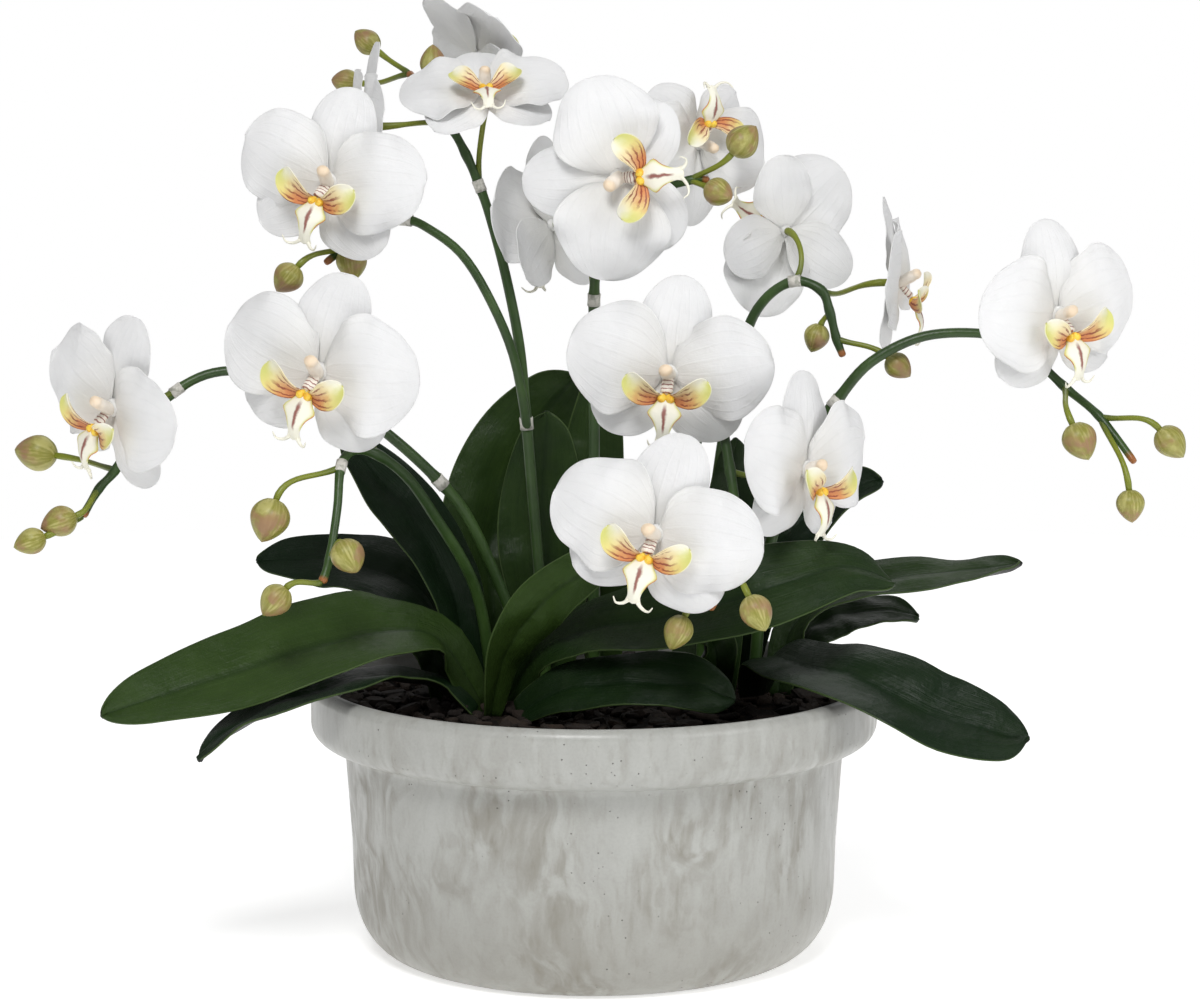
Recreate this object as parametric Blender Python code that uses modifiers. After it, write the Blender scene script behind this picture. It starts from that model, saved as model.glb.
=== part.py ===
"""A potted moth orchid: seven arching flower spikes with fifteen white flowers and their buds,
strap leaves in three clumps, potting bark, and a wide round pot with a thick collar.

Units are metres, +Z is up, and the origin is the centre of the pot's flat underside. The front
of the arrangement faces -Y. Points in the tables are in millimetres: x and y are measured from
the pot's axis, and the third number is a height above the top of the bark.
"""

import math

import bmesh
import bpy
from mathutils import Matrix, Vector

MM = 0.001

# Pot: a turned shell with a collar round its mouth.
POT_HEIGHT = 126.0
RIM_RADIUS = 130.0
RIM_ROUNDING = 5.0
COLLAR_HEIGHT = 28.0
BODY_TOP_RADIUS = 114.5
BODY_LOW_RADIUS = 111.0
BASE_RADIUS = 90.0
BOTTOM_ROUNDING = 32.0
COLLAR_WALL = 9.0
BODY_WALL = 8.0
FLOOR_THICKNESS = 10.0
POT_SIDES = 40

# Potting bark, filling the pot.
BARK_BELOW_RIM = 14.0
TOUCH_GAP = 0.3

# Leaves: sheets with a channel down the middle, wider than thick.
LEAF_THICKNESS = 2.4
LEAF_FOLD = 0.30
LEAF_STATIONS = 8
TIP_CROWDING = 1.5

# Flower spikes.
STEM_BASE_RADIUS = 2.9
STEM_TIP_RADIUS = 1.7
STEM_STEP = 20.0
SLEEVE_EXTRA_RADIUS = 0.7
SLEEVE_LENGTH = 8.0
PEDICEL_RADIUS = 1.3
PEDICEL_STEPS = 3
PEDICEL_END = 2.0
BUD_TAPER = 0.25

# Flowers, in their own frame: +Z faces out, +Y runs up the dorsal sepal.
PETAL_THICKNESS = 1.2
DORSAL_SEPAL_LENGTH = 43.0
LATERAL_SEPAL_LENGTH = 39.0
LATERAL_SEPAL_ANGLE = 128.0
SEPAL_WIDTH = 33.0
PETAL_LENGTH = 46.0
PETAL_WIDTH = 51.0
PETAL_ANGLE = 78.0
CLAW_WIDTH = 6.0
CLAW_START = 2.6
HUB_RADIUS = 4.2
HUB_BACK = 4.0
HUB_FRONT = 2.2
SEPAL_LEVEL = -1.8
PETAL_LEVEL = 0.2
LIP_THICKNESS = 1.2
COLUMN_LENGTH = 10.0
COLUMN_RADIUS = 3.0
MIDLOBE_LENGTH = 27.0
MIDLOBE_WIDTH = 12.0
MIDLOBE_FORWARD = 10.0
SIDE_LOBE_LENGTH = 18.0
SIDE_LOBE_WIDTH = 13.0

BARK_TOP = POT_HEIGHT - BARK_BELOW_RIM

# Least distance between the middle of a leaf and the middle of a stem beside it.
LEAF_TO_STEM = STEM_BASE_RADIUS + 0.5 * LEAF_THICKNESS

# Leaves that rise from the bark. Each row: name, route from the bark to the tip, greatest width,
# the way its upper face looks near the base, and the same near the tip.
RISING_LEAVES = [
    ("leaf_left_back", [(-60, 14, 0), (-78, 26, 40), (-102, 38, 54), (-128, 49, 57), (-160, 60, 56)],
     36, (0.1, -0.7, 0.7), (0.1, -0.7, 0.7)),
    ("leaf_left_rising", [(-52.2 - LEAF_TO_STEM, 4, 0), (-60.2 - LEAF_TO_STEM, 9, 46), (-78, 14, 76), (-96, 19, 99),
                          (-116, 23, 118)],
     36, (0.7, -0.7, 0.2), (0.5, -0.7, 0.5)),
    ("leaf_left_small", [(-70, -2, 0), (-73, -1, 18), (-79, 0, 31), (-90, 2, 33)],
     20, (0.4, -0.6, 0.6), (0.1, -0.6, 0.8)),
    ("leaf_back_broad", [(-44, 46, 0), (-50, 54, 46), (-47, 62, 80), (-34, 68, 114), (-9, 70, 144)],
     54, (0.25, -1.0, 0.1), (0.2, -1.0, 0.3)),
    ("leaf_centre_upright", [(-20, 36, 0), (-22, 40, 50), (-24, 43, 90), (-22, 44, 130)],
     42, (0.0, -1.0, 0.1), (0.0, -1.0, 0.2)),
    ("leaf_centre_back", [(4, 52, 0), (1, 54, 60), (-1, 58, 105), (3, 62, 150)],
     32, (0.3, -1.0, 0.0), (0.3, -1.0, 0.2)),
    ("leaf_centre_strap", [(-47, -27, 0), (-41, -36, 28), (-25, -48, 52), (-6, -58, 68), (9, -64, 77)],
     25, (0.6, -0.7, 0.3), (0.3, -0.8, 0.6)),
    ("leaf_centre_right", [(-40, -12, 0), (-25, -28, 25), (-3, -44, 38), (25, -56, 45), (56, -64, 54),
                           (86, -67, 64), (113, -64, 70), (132, -58, 62)],
     42, (0.2, -0.7, 0.7), (0.1, -0.65, 0.75)),
    ("leaf_right_under", [(92, 22, 0), (97, 32, 22), (112, 42, 31), (134, 47, 33), (153, 50, 30)],
     30, (0.0, -0.5, 0.85), (0.0, -0.4, 0.9)),
    ("leaf_right_far", [(86, 14, 0), (94, 20, 32), (119, 25, 47), (150, 24, 54), (180, 20, 58), (198, 18, 62)],
     30, (0.0, -0.25, 1.0), (0.1, -0.35, 0.95)),
    ("leaf_right_back", [(70, 40, 0), (77, 44, 45), (92, 48, 72), (112, 50, 89), (135, 50, 97)],
     34, (-0.3, -0.8, 0.5), (-0.1, -0.6, 0.8)),
    ("leaf_right_upright", [(60, 14, 0), (60, 12, 50), (62, 8, 90), (65, 2, 122)],
     24, (0.2, -1.0, 0.1), (0.2, -1.0, 0.2)),
    ("leaf_rear_left", [(-34, 62, 0), (-44, 82, 34), (-60, 108, 52), (-80, 138, 50), (-98, 166, 34)],
     42, (-0.1, -0.2, 1.0), (-0.2, 0.3, 1.0)),
    ("leaf_rear_right", [(46, 60, 0), (54, 80, 32), (68, 106, 50), (88, 134, 50), (108, 160, 36)],
     42, (0.1, -0.2, 1.0), (0.2, 0.3, 1.0)),
    ("leaf_right_small", [(58, -10, 0), (56, -16, 24), (50, -22, 36), (40, -28, 38)],
     20, (-0.2, -0.7, 0.6), (0.0, -0.7, 0.7)),
]

# Leaves that drape over the rim or lie along it. After the first point on the bark, each row's
# points are: bearing in degrees, distance past the rim, and height above the top of the rim.
DRAPED_LEAVES = [
    ("leaf_left_front", (-52, -10, 0),
     [(196, -56, 19), (202, -27, 25), (203, 2, 22), (203, 31, 15), (202, 66, 6), (202, 101, -2)],
     50, (0.0, -0.4, 0.9), (-0.1, -0.75, 0.65)),
    ("leaf_left_low", (-54, -31, 0),
     [(206, -52, 0), (207, -29, 6), (210, -3, 7), (210, 24, 1), (208, 47, -9), (207, 62, -22)],
     32, (0.0, -0.2, 1.0), (-0.5, -0.3, 0.8)),
    ("leaf_front_short", (-34, -38, 0),
     [(257, -74, 1), (283, -63, 6), (301, -49, 6), (311, -36, 0)],
     32, (0.1, -0.7, 0.7), (0.1, -0.7, 0.7)),
    ("leaf_right_front", (76, 4, 0),
     [(349, -49, 8), (338, -33, 9), (332, -9, 9), (331, 18, 3), (332, 41, -6), (334, 66, -12), (335, 78, -13)],
     46, (0.0, -0.5, 0.87), (0.1, -0.6, 0.8)),
]

# Spikes. Each row: name, sleeved joints, and one or two routes of joints from the bark to the tip.
# A second route starts at a joint of the first, whose number is given before it.
SPIKES = [
    ("spike_left_front", [8],
     [(-47, 6, 0), (-49, 3, 26), (-53, -2, 50), (-60, -10, 69), (-71, -20, 89), (-83, -32, 109),
      (-96, -42, 121), (-106, -50, 124), (-111, -61, 118), (-112, -71, 101), (-115, -79, 80), (-118, -83, 70)],
     None, []),
    ("spike_left_long", [4, 9],
     [(-34, 10, 0), (-35, 9, 28), (-43, 8, 53), (-57, 0, 86), (-70, -5, 104), (-91, -12, 125), (-115, -15, 143),
      (-141, -17, 154), (-168, -20, 156), (-187, -24, 148), (-202, -28, 132), (-214, -32, 113), (-221, -36, 105),
      (-228, -40, 93)],
     None, []),
    ("spike_left_forked", [4, 8],
     [(-23, 22, 0), (-23, 22, 26), (-26, 20, 64), (-29, 16, 103), (-31, 13, 129), (-34, 11, 164), (-40, 10, 196),
      (-47, 9, 223), (-52, 8, 238), (-58, 9, 252), (-65, 15, 264), (-76, 32, 276), (-86, 58, 288)],
     4,
     [(-30, 14, 122), (-36, 2, 159), (-47, -3, 187), (-60, -4, 208), (-76, -3, 220), (-85, 0, 223), (-95, 3, 222),
      (-103, 1, 217), (-112, -5, 211), (-121, -10, 204)]),
    ("spike_centre", [4],
     [(0, 26, 0), (0, 25, 63), (0, 22, 106), (0, 17, 153), (0, 12, 186), (2, 8, 204), (10, 4, 221), (25, 0, 234),
      (43, -4, 241), (52, -4, 241)],
     None, []),
    ("spike_right_short", [6],
     [(50, 30, 0), (52, 30, 53), (56, 29, 91), (62, 27, 133), (70, 24, 169), (79, 20, 186), (92, 18, 194),
      (104, 16, 190), (108, 14, 180), (111, 12, 168), (114, 10, 160)],
     None, []),
    ("spike_right_long", [4],
     [(74, 20, 0), (79, 17, 60), (90, 8, 104), (100, 3, 126), (110, 0, 140), (125, -2, 158), (148, -3, 170),
      (173, -4, 172), (188, -5, 168), (199, -6, 161), (213, -9, 148), (227, -24, 136), (241, -38, 117)],
     None, []),
    ("spike_front", [],
     [(24, 8, 0), (30, 4, 48), (40, -4, 96), (48, -16, 130), (53, -30, 141), (57, -44, 133), (60, -58, 116),
      (62, -74, 98), (60, -88, 82), (55, -96, 70), (50, -101, 61)],
     None, []),
]

# Flowers. Each row: spike, route (0 or 1) and joint it grows from, hub, heading (0 faces the
# front, positive turns to +X), pitch upwards, roll clockwise as seen by whoever faces it, size.
FLOWERS = [
    ("spike_left_long", 0, 9, (-212, -50, 143), -46, -5, 22, 1.0),
    ("spike_left_front", 0, 6, (-120, -62, 160), -22, 0, 15, 1.04),
    ("spike_left_forked", 1, 5, (-118, -20, 241), -18, 5, 15, 1.0),
    ("spike_left_forked", 0, 10, (-104, 34, 264), -80, 0, 5, 0.9),
    ("spike_left_forked", 0, 8, (-49, 0, 281), 0, 55, -6, 0.84),
    ("spike_left_forked", 0, 9, (-53, 5 + PETAL_LENGTH, 296), 125, 35, 20, 0.85),
    ("spike_centre", 0, 6, (11, -26, 243), 0, 0, -95, 1.0),
    ("spike_centre", 0, 4, (-21, 25, 219), -125, -10, 0, 0.95),
    ("spike_centre", 0, 6, (48, 32, 257), 40, 0, 180, 0.9),
    ("spike_right_short", 0, 6, (88, 38, 216), -155, 0, -122, 0.9),
    ("spike_right_short", 0, 7, (141, 52, 191), 80, 0, -10, 0.95),
    ("spike_right_long", 0, 8, (207, -27, 182), 33, 0, -8, 1.0),
    ("spike_front", 0, 3, (33, -60, 159), -5, -5, 5, 1.0),
    ("spike_front", 0, 7, (26, -115, 96), -12, 0, 15, 1.02),
    ("spike_front", 0, 6, (93, -60, 117), 52, 0, 5, 1.0),
]

# Buds. Each row: spike, route and joint, centre, the way the tip points, length and width.
BUDS = [
    ("spike_left_long", 0, 11, (-256, 8, 116), (-1.0, 0.3, 0.1), 21, 17),
    ("spike_left_long", 0, 12, (-237, -50, 92), (-0.9, -0.3, -0.3), 17, 14),
    ("spike_left_long", 0, 13, (-249, -56, 84), (-0.9, -0.2, -0.3), 15, 12),
    ("spike_left_front", 0, 8, (-141, -80, 97), (-0.3, -0.2, -0.9), 20, 18),
    ("spike_left_front", 0, 10, (-106, -88, 82), (0.4, -0.5, -0.6), 17, 15),
    ("spike_left_front", 0, 11, (-138, -90, 63), (-0.6, -0.1, -0.7), 16, 14),
    ("spike_left_forked", 1, 8, (-137, -22, 198), (-0.6, -0.1, -0.7), 15, 14),
    ("spike_left_forked", 1, 8, (-109, -10, 204), (0.1, -0.2, -0.9), 16, 14),
    ("spike_centre", 0, 8, (67, -12, 259), (0.6, -0.1, 0.7), 17, 15),
    ("spike_centre", 0, 8, (56, -15, 236), (0.7, -0.6, -0.3), 15, 13),
    ("spike_right_short", 0, 8, (102, 17, 168), (-0.3, 0.1, -0.9), 14, 12),
    ("spike_right_short", 0, 9, (139, 5, 156), (0.7, -0.1, -0.6), 14, 12),
    ("spike_right_long", 0, 10, (216, -42, 127), (0.4, -0.3, -0.9), 18, 16),
    ("spike_right_long", 0, 11, (238, -48, 99), (0.1, -0.1, -1.0), 15, 13),
    ("spike_right_long", 0, 11, (257, -38, 126), (0.6, -0.1, -0.7), 17, 14),
    ("spike_front", 0, 9, (36, -106, 52), (-0.4, -0.2, -0.9), 16, 13),
    ("spike_front", 0, 8, (69, -128, 64), (0.4, -0.4, -0.8), 17, 14),
    ("spike_left_forked", 0, 12, (-107, 74, 303), (-0.7, 0.3, 0.6), 15, 12),
    ("spike_left_forked", 0, 12, (-118, 84, 284), (-0.9, 0.3, 0.1), 14, 12),
    ("spike_left_forked", 0, 11, (-74, 34, 294), (0.0, 0.0, 1.0), 15, 12),
]


# ---------------------------------------------------------------- scene, collections, materials

for old in list(bpy.data.objects):
    bpy.data.objects.remove(old, do_unlink=True)

orchid = bpy.data.collections.new("potted_orchid")
helpers = bpy.data.collections.new("helper_shapes")
for collection in (orchid, helpers):
    bpy.context.scene.collection.children.link(collection)
helpers.hide_render = True


def make_material(name, colour, roughness):
    material = bpy.data.materials.new(name)
    material.use_nodes = True
    shader = material.node_tree.nodes["Principled BSDF"]
    shader.inputs["Base Color"].default_value = (*colour, 1.0)
    shader.inputs["Roughness"].default_value = roughness
    shader.inputs["Metallic"].default_value = 0.0
    return material


POT_GREY = make_material("pot_grey", (0.56, 0.56, 0.54), 0.45)
BARK_BROWN = make_material("bark_brown", (0.05, 0.035, 0.025), 0.9)
LEAF_GREEN = make_material("leaf_green", (0.035, 0.085, 0.025), 0.4)
STEM_GREEN = make_material("stem_green", (0.08, 0.14, 0.04), 0.45)
PETAL_WHITE = make_material("petal_white", (0.86, 0.86, 0.85), 0.5)
LIP_YELLOW = make_material("lip_yellow", (0.85, 0.74, 0.42), 0.45)


# ---------------------------------------------------------------- shared modelling functions

def add_object(name, mesh, collection):
    piece = bpy.data.objects.new(name, mesh)
    collection.objects.link(piece)
    return piece


def new_mesh_from(body, name):
    """A mesh made from a bmesh, with its normals out, and the bmesh freed."""
    bmesh.ops.recalc_face_normals(body, faces=body.faces)
    mesh = bpy.data.meshes.new(name)
    body.to_mesh(mesh)
    body.free()
    return mesh


def evaluated_mesh(piece):
    """The piece's mesh with its modifiers applied."""
    bpy.context.view_layer.update()
    graph = bpy.context.evaluated_depsgraph_get()
    return bpy.data.meshes.new_from_object(piece.evaluated_get(graph))


def weld_caps(mesh):
    """Joins a rod's loose end caps to its side."""
    body = bmesh.new()
    body.from_mesh(mesh)
    bmesh.ops.remove_doubles(body, verts=body.verts, dist=0.01 * MM)
    body.to_mesh(mesh)
    body.free()


def finish(name, piece, material, sharp_angle=50.0):
    """Puts a finished solid in the object's collection, shaded smooth, with its one material."""
    mesh = evaluated_mesh(piece)
    mesh.name = name
    mesh.materials.clear()
    mesh.materials.append(material)
    mesh.shade_smooth()
    mesh.set_sharp_from_angle(angle=math.radians(sharp_angle))
    placed = add_object(name, mesh, orchid)
    placed.matrix_world = piece.matrix_world
    bpy.data.objects.remove(piece, do_unlink=True)
    return placed


def union(pieces, solver="EXACT"):
    """Joins overlapping closed solids into the first one, and removes the others."""
    body = pieces[0]
    for other in pieces[1:]:
        join = body.modifiers.new("join_" + other.name, "BOOLEAN")
        join.operation = "UNION"
        join.solver = solver
        join.object = other
        other.hide_render = True
        other.display_type = "WIRE"
    mesh = evaluated_mesh(body)
    joined = add_object(body.name + "_joined", mesh, helpers)
    joined.matrix_world = body.matrix_world
    for piece in pieces:
        bpy.data.objects.remove(piece, do_unlink=True)
    return joined


def turned(name, profile):
    """A solid of revolution from (radius, height) points in mm, starting and ending on the axis."""
    body = bmesh.new()
    corners = [body.verts.new((radius * MM, 0.0, height * MM)) for radius, height in profile]
    for first, second in zip(corners, corners[1:]):
        body.edges.new((first, second))
    mesh = bpy.data.meshes.new(name)
    body.to_mesh(mesh)
    body.free()
    piece = add_object(name, mesh, helpers)
    screw = piece.modifiers.new("turn", "SCREW")
    screw.steps = POT_SIDES
    screw.render_steps = POT_SIDES
    screw.use_merge_vertices = True
    screw.merge_threshold = 0.0001
    return piece


def arc(centre_radius, centre_height, across, up, start, end, steps):
    """Points of an elliptical quarter or part of one, as (radius, height) in mm; angles in degrees."""
    points = []
    for step in range(steps + 1):
        angle = math.radians(start + (end - start) * step / steps)
        points.append((centre_radius + across * math.cos(angle), centre_height + up * math.sin(angle)))
    return points


def between(route, place):
    """The point of a smooth curve through the route, at a place counted in joints from its start."""
    index = min(int(place), len(route) - 2)
    t = place - index
    before = route[max(index - 1, 0)]
    here = route[index]
    after = route[index + 1]
    beyond = route[min(index + 2, len(route) - 1)]
    return 0.5 * (2.0 * here + (after - before) * t
                  + (2.0 * before - 5.0 * here + 4.0 * after - beyond) * t * t
                  + (3.0 * here - before - 3.0 * after + beyond) * t * t * t)


def route_length(route):
    return sum((second - first).length for first, second in zip(route, route[1:]))


def on_bark(point):
    """A table's point in mm: x, y and height above the bark, lifted clear of the bark's surface."""
    x, y, height = point
    return Vector((x, y, BARK_TOP + TOUCH_GAP + height))


def near_rim(point):
    """A table's point in mm: bearing in degrees, distance past the rim, height above the rim."""
    bearing, past, height = point
    radius = RIM_RADIUS + past
    angle = math.radians(bearing)
    return Vector((radius * math.cos(angle), radius * math.sin(angle), POT_HEIGHT + height))


# ---------------------------------------------------------------- pot and bark

def inner_profile(clearance):
    """The inside of the pot below the bark's top, from the floor up, shrunk by a clearance."""
    mouth_radius = RIM_RADIUS - COLLAR_WALL - clearance
    hollow_radius = BODY_TOP_RADIUS - BODY_WALL - clearance
    low_radius = BODY_LOW_RADIUS - BODY_WALL - clearance
    floor_radius = BASE_RADIUS - BODY_WALL
    floor = FLOOR_THICKNESS + clearance
    collar_bottom = POT_HEIGHT - COLLAR_HEIGHT
    points = [(0.0, floor)]
    points += arc(floor_radius, floor + BOTTOM_ROUNDING, low_radius - floor_radius, BOTTOM_ROUNDING, -90, 0, 3)
    points.append((hollow_radius, collar_bottom - 6.0))
    points.append((mouth_radius, collar_bottom + 6.0))
    return points, mouth_radius


def build_pot():
    inside, mouth_radius = inner_profile(0.0)
    collar_bottom = POT_HEIGHT - COLLAR_HEIGHT
    half_wall = COLLAR_WALL / 2.0
    profile = list(inside)
    profile += arc(mouth_radius + half_wall, POT_HEIGHT - RIM_ROUNDING, half_wall, RIM_ROUNDING, 180, 0, 5)
    profile.append((RIM_RADIUS, collar_bottom + 4.0))
    profile.append((RIM_RADIUS - 4.0, collar_bottom))
    profile.append((BODY_TOP_RADIUS, collar_bottom - 3.0))
    profile.append((BODY_LOW_RADIUS, BOTTOM_ROUNDING))
    profile += arc(BASE_RADIUS, BOTTOM_ROUNDING, BODY_LOW_RADIUS - BASE_RADIUS, BOTTOM_ROUNDING, 0, -90, 4)[1:]
    profile.append((0.0, 0.0))
    finish("pot", turned("pot_profile", profile), POT_GREY)


def build_bark():
    inside, mouth_radius = inner_profile(TOUCH_GAP)
    profile = [(0.0, BARK_TOP), (mouth_radius, BARK_TOP)]
    profile += reversed(inside)
    finish("potting_bark", turned("bark_profile", profile), BARK_BROWN)


# ---------------------------------------------------------------- leaves

def leaf_width(t):
    """Share of the greatest width at a place from 0 at the base to 1 at the tip."""
    swell = math.sin(math.pi * (0.12 + 0.85 * t) ** 1.25) ** 0.7
    return max(0.30 * (1.0 - t), swell)


def sheet(name, rows, thickness):
    """A closed thin solid from a grid of points in mm, thickened both ways from the sheet."""
    body = bmesh.new()
    grid = [[body.verts.new(point * MM) for point in row] for row in rows]
    for lower, upper in zip(grid, grid[1:]):
        for column in range(len(lower) - 1):
            body.faces.new((lower[column], lower[column + 1], upper[column + 1], upper[column]))
    mesh = new_mesh_from(body, name)
    piece = add_object(name, mesh, helpers)
    solid = piece.modifiers.new("thickness", "SOLIDIFY")
    solid.thickness = thickness * MM
    solid.offset = 0.0
    return piece


def build_leaf(name, route, width, face_start, face_end):
    rows = []
    last = len(route) - 1
    for station in range(LEAF_STATIONS + 1):
        t = 1.0 - (1.0 - station / LEAF_STATIONS) ** TIP_CROWDING
        place = t * last
        middle = between(route, place)
        along = (between(route, min(place + 0.05, last)) - between(route, max(place - 0.05, 0.0))).normalized()
        face = Vector(face_start).lerp(Vector(face_end), t)
        normal = (face - along * face.dot(along)).normalized()
        side = along.cross(normal)
        half = 0.5 * width * leaf_width(t)
        fold = LEAF_FOLD * half * (1.0 - 0.5 * t)
        rows.append([middle - side * half + normal * fold, middle, middle + side * half + normal * fold])
    lowest = min(point.z for point in rows[0]) - 0.5 * LEAF_THICKNESS
    lift = max(0.0, BARK_TOP + TOUCH_GAP - lowest)
    rows[0] = [point + Vector((0.0, 0.0, lift)) for point in rows[0]]
    finish(name, sheet(name + "_sheet", rows, LEAF_THICKNESS), LEAF_GREEN)


def build_leaves():
    for name, points, width, face_start, face_end in RISING_LEAVES:
        build_leaf(name, [on_bark(point) for point in points], width, face_start, face_end)
    for name, base, points, width, face_start, face_end in DRAPED_LEAVES:
        route = [on_bark(base)] + [near_rim(point) for point in points]
        build_leaf(name, route, width, face_start, face_end)


# ---------------------------------------------------------------- stems, buds and spikes

def tube(name, points, radii, sides_level=1):
    """A round rod along points in mm, as a closed mesh."""
    curve = bpy.data.curves.new(name, "CURVE")
    curve.dimensions = "3D"
    curve.bevel_depth = MM
    curve.bevel_resolution = sides_level
    curve.render_resolution_u = 0
    curve.use_fill_caps = True
    spline = curve.splines.new("POLY")
    spline.points.add(len(points) - 1)
    for control, point, radius in zip(spline.points, points, radii):
        control.co = (*(point * MM), 1.0)
        control.radius = radius
    rod = add_object(name + "_curve", curve, helpers)
    mesh = evaluated_mesh(rod)
    weld_caps(mesh)
    piece = add_object(name, mesh, helpers)
    piece.matrix_world = rod.matrix_world
    bpy.data.objects.remove(rod, do_unlink=True)
    return piece


def stem(name, route, base_radius, tip_radius):
    count = max(2, round(route_length(route) / STEM_STEP))
    last = len(route) - 1
    points = [between(route, last * step / count) for step in range(count + 1)]
    lean = (points[1] - points[0]).normalized()
    points[0].z += base_radius * math.hypot(lean.x, lean.y)
    radii = [base_radius + (tip_radius - base_radius) * step / count for step in range(count + 1)]
    return tube(name, points, radii)


def stem_radius(route, joint):
    share = joint / (len(route) - 1)
    return STEM_BASE_RADIUS + (STEM_TIP_RADIUS - STEM_BASE_RADIUS) * share


def sleeve(name, route, joint):
    """The pale collar round a stem where two lengths of it meet."""
    middle = between(route, joint)
    along = (between(route, joint + 0.1) - between(route, joint - 0.1)).normalized()
    radius = stem_radius(route, joint) + SLEEVE_EXTRA_RADIUS
    half = along * (0.5 * SLEEVE_LENGTH)
    return tube(name, [middle - half, middle + half], [radius, radius], 2)


def bent(start, leave, end, arrive):
    """Points of a cubic curve that leaves start one way and arrives at end another way."""
    reach = 0.4 * (end - start).length
    first = start + leave.normalized() * reach
    second = end - arrive.normalized() * reach
    points = []
    for step in range(PEDICEL_STEPS + 1):
        t = step / PEDICEL_STEPS
        s = 1.0 - t
        points.append(start * s ** 3 + first * (3 * s * s * t) + second * (3 * s * t * t) + end * t ** 3)
    return points


def bud(name, centre, tip, length, width):
    body = bmesh.new()
    bmesh.ops.create_uvsphere(body, u_segments=7, v_segments=5, radius=0.5)
    for corner in body.verts:
        narrow = 1.0 - BUD_TAPER * (corner.co.z + 0.5)
        corner.co = Vector((corner.co.x * width * narrow, corner.co.y * width * narrow, corner.co.z * length)) * MM
    mesh = new_mesh_from(body, name)
    piece = add_object(name, mesh, helpers)
    turn = tip.to_track_quat("Z", "Y").to_matrix().to_4x4()
    piece.matrix_world = Matrix.Translation(centre * MM) @ turn
    return piece


def flower_turn(heading, pitch, roll):
    """The rotation from a flower's own frame to the world: +Z out of its face, +Y up its back sepal."""
    facing = Matrix.Rotation(math.radians(heading), 4, "Z") @ Matrix.Rotation(math.radians(90.0 - pitch), 4, "X")
    return facing @ Matrix.Rotation(math.radians(-roll), 4, "Z")


def build_spikes():
    for name, sleeves, joints, fork, second_joints in SPIKES:
        routes = [[on_bark(point) for point in joints]]
        pieces = [stem(name + "_stem", routes[0], STEM_BASE_RADIUS, STEM_TIP_RADIUS)]
        if fork is not None:
            routes.append([on_bark(point) for point in second_joints])
            pieces.append(stem(name + "_fork", routes[1], stem_radius(routes[0], fork) - 0.2, STEM_TIP_RADIUS))
        for joint in sleeves:
            pieces.append(sleeve(f"{name}_sleeve_{joint}", routes[0], joint))
        if fork is not None:
            pieces.append(sleeve(name + "_fork_sleeve", routes[1], 5))
        for number, (spike, route, joint, hub, heading, pitch, roll, size) in enumerate(FLOWERS, 1):
            if spike == name:
                turn = flower_turn(heading, pitch, roll)
                facing = turn.to_3x3() @ Vector((0.0, 0.0, 1.0))
                start = routes[route][joint]
                end = on_bark(hub) - facing * (HUB_BACK * size + TOUCH_GAP)
                along = between(routes[route], joint + 0.4) - between(routes[route], joint - 0.4)
                leave = (end - start).normalized() - facing * 0.5 + along.normalized() * 0.5
                points = bent(start, leave, end - facing * PEDICEL_END, facing) + [end]
                pieces.append(tube(f"{name}_pedicel_{number}", points, [PEDICEL_RADIUS] * len(points)))
        for number, (spike, route, joint, centre, tip, length, width) in enumerate(BUDS, 1):
            if spike == name:
                tip = Vector(tip).normalized()
                start = routes[route][joint]
                middle = on_bark(centre)
                end = middle - tip * (0.4 * length)
                points = bent(start, end - start, end, tip)
                pieces.append(tube(f"{name}_bud_stalk_{number}", points, [PEDICEL_RADIUS] * len(points)))
                pieces.append(bud(f"{name}_bud_{number}", middle, tip, length, width))
        # Rods that meet at shallow angles come apart with EXACT, so these closed rods take MANIFOLD.
        finish(name, union(pieces, "MANIFOLD"), STEM_GREEN)


# ---------------------------------------------------------------- flowers

def tepal(name, length, width, level, bow, droop, stations, columns):
    """One sepal or petal as a thin solid along +Y, from inside the hub to its tip."""
    rows = []
    for station in range(stations + 1):
        t = 1.0 - (1.0 - station / stations) ** TIP_CROWDING
        along = CLAW_START + (length - CLAW_START) * t
        swell = math.sin(math.pi * (0.01 + 0.93 * t)) ** 0.6
        half = 0.5 * max(CLAW_WIDTH * (1.0 - t), width * swell)
        row = []
        for column in range(columns + 1):
            u = 2.0 * column / columns - 1.0
            rise = level + bow * math.sin(math.pi * t) * (1.0 - 0.5 * u * u) - droop * t * t
            row.append(Vector((half * u, along * (1.0 - 0.06 * u * u), rise)))
        rows.append(row)
    return sheet(name, rows, PETAL_THICKNESS)


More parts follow.
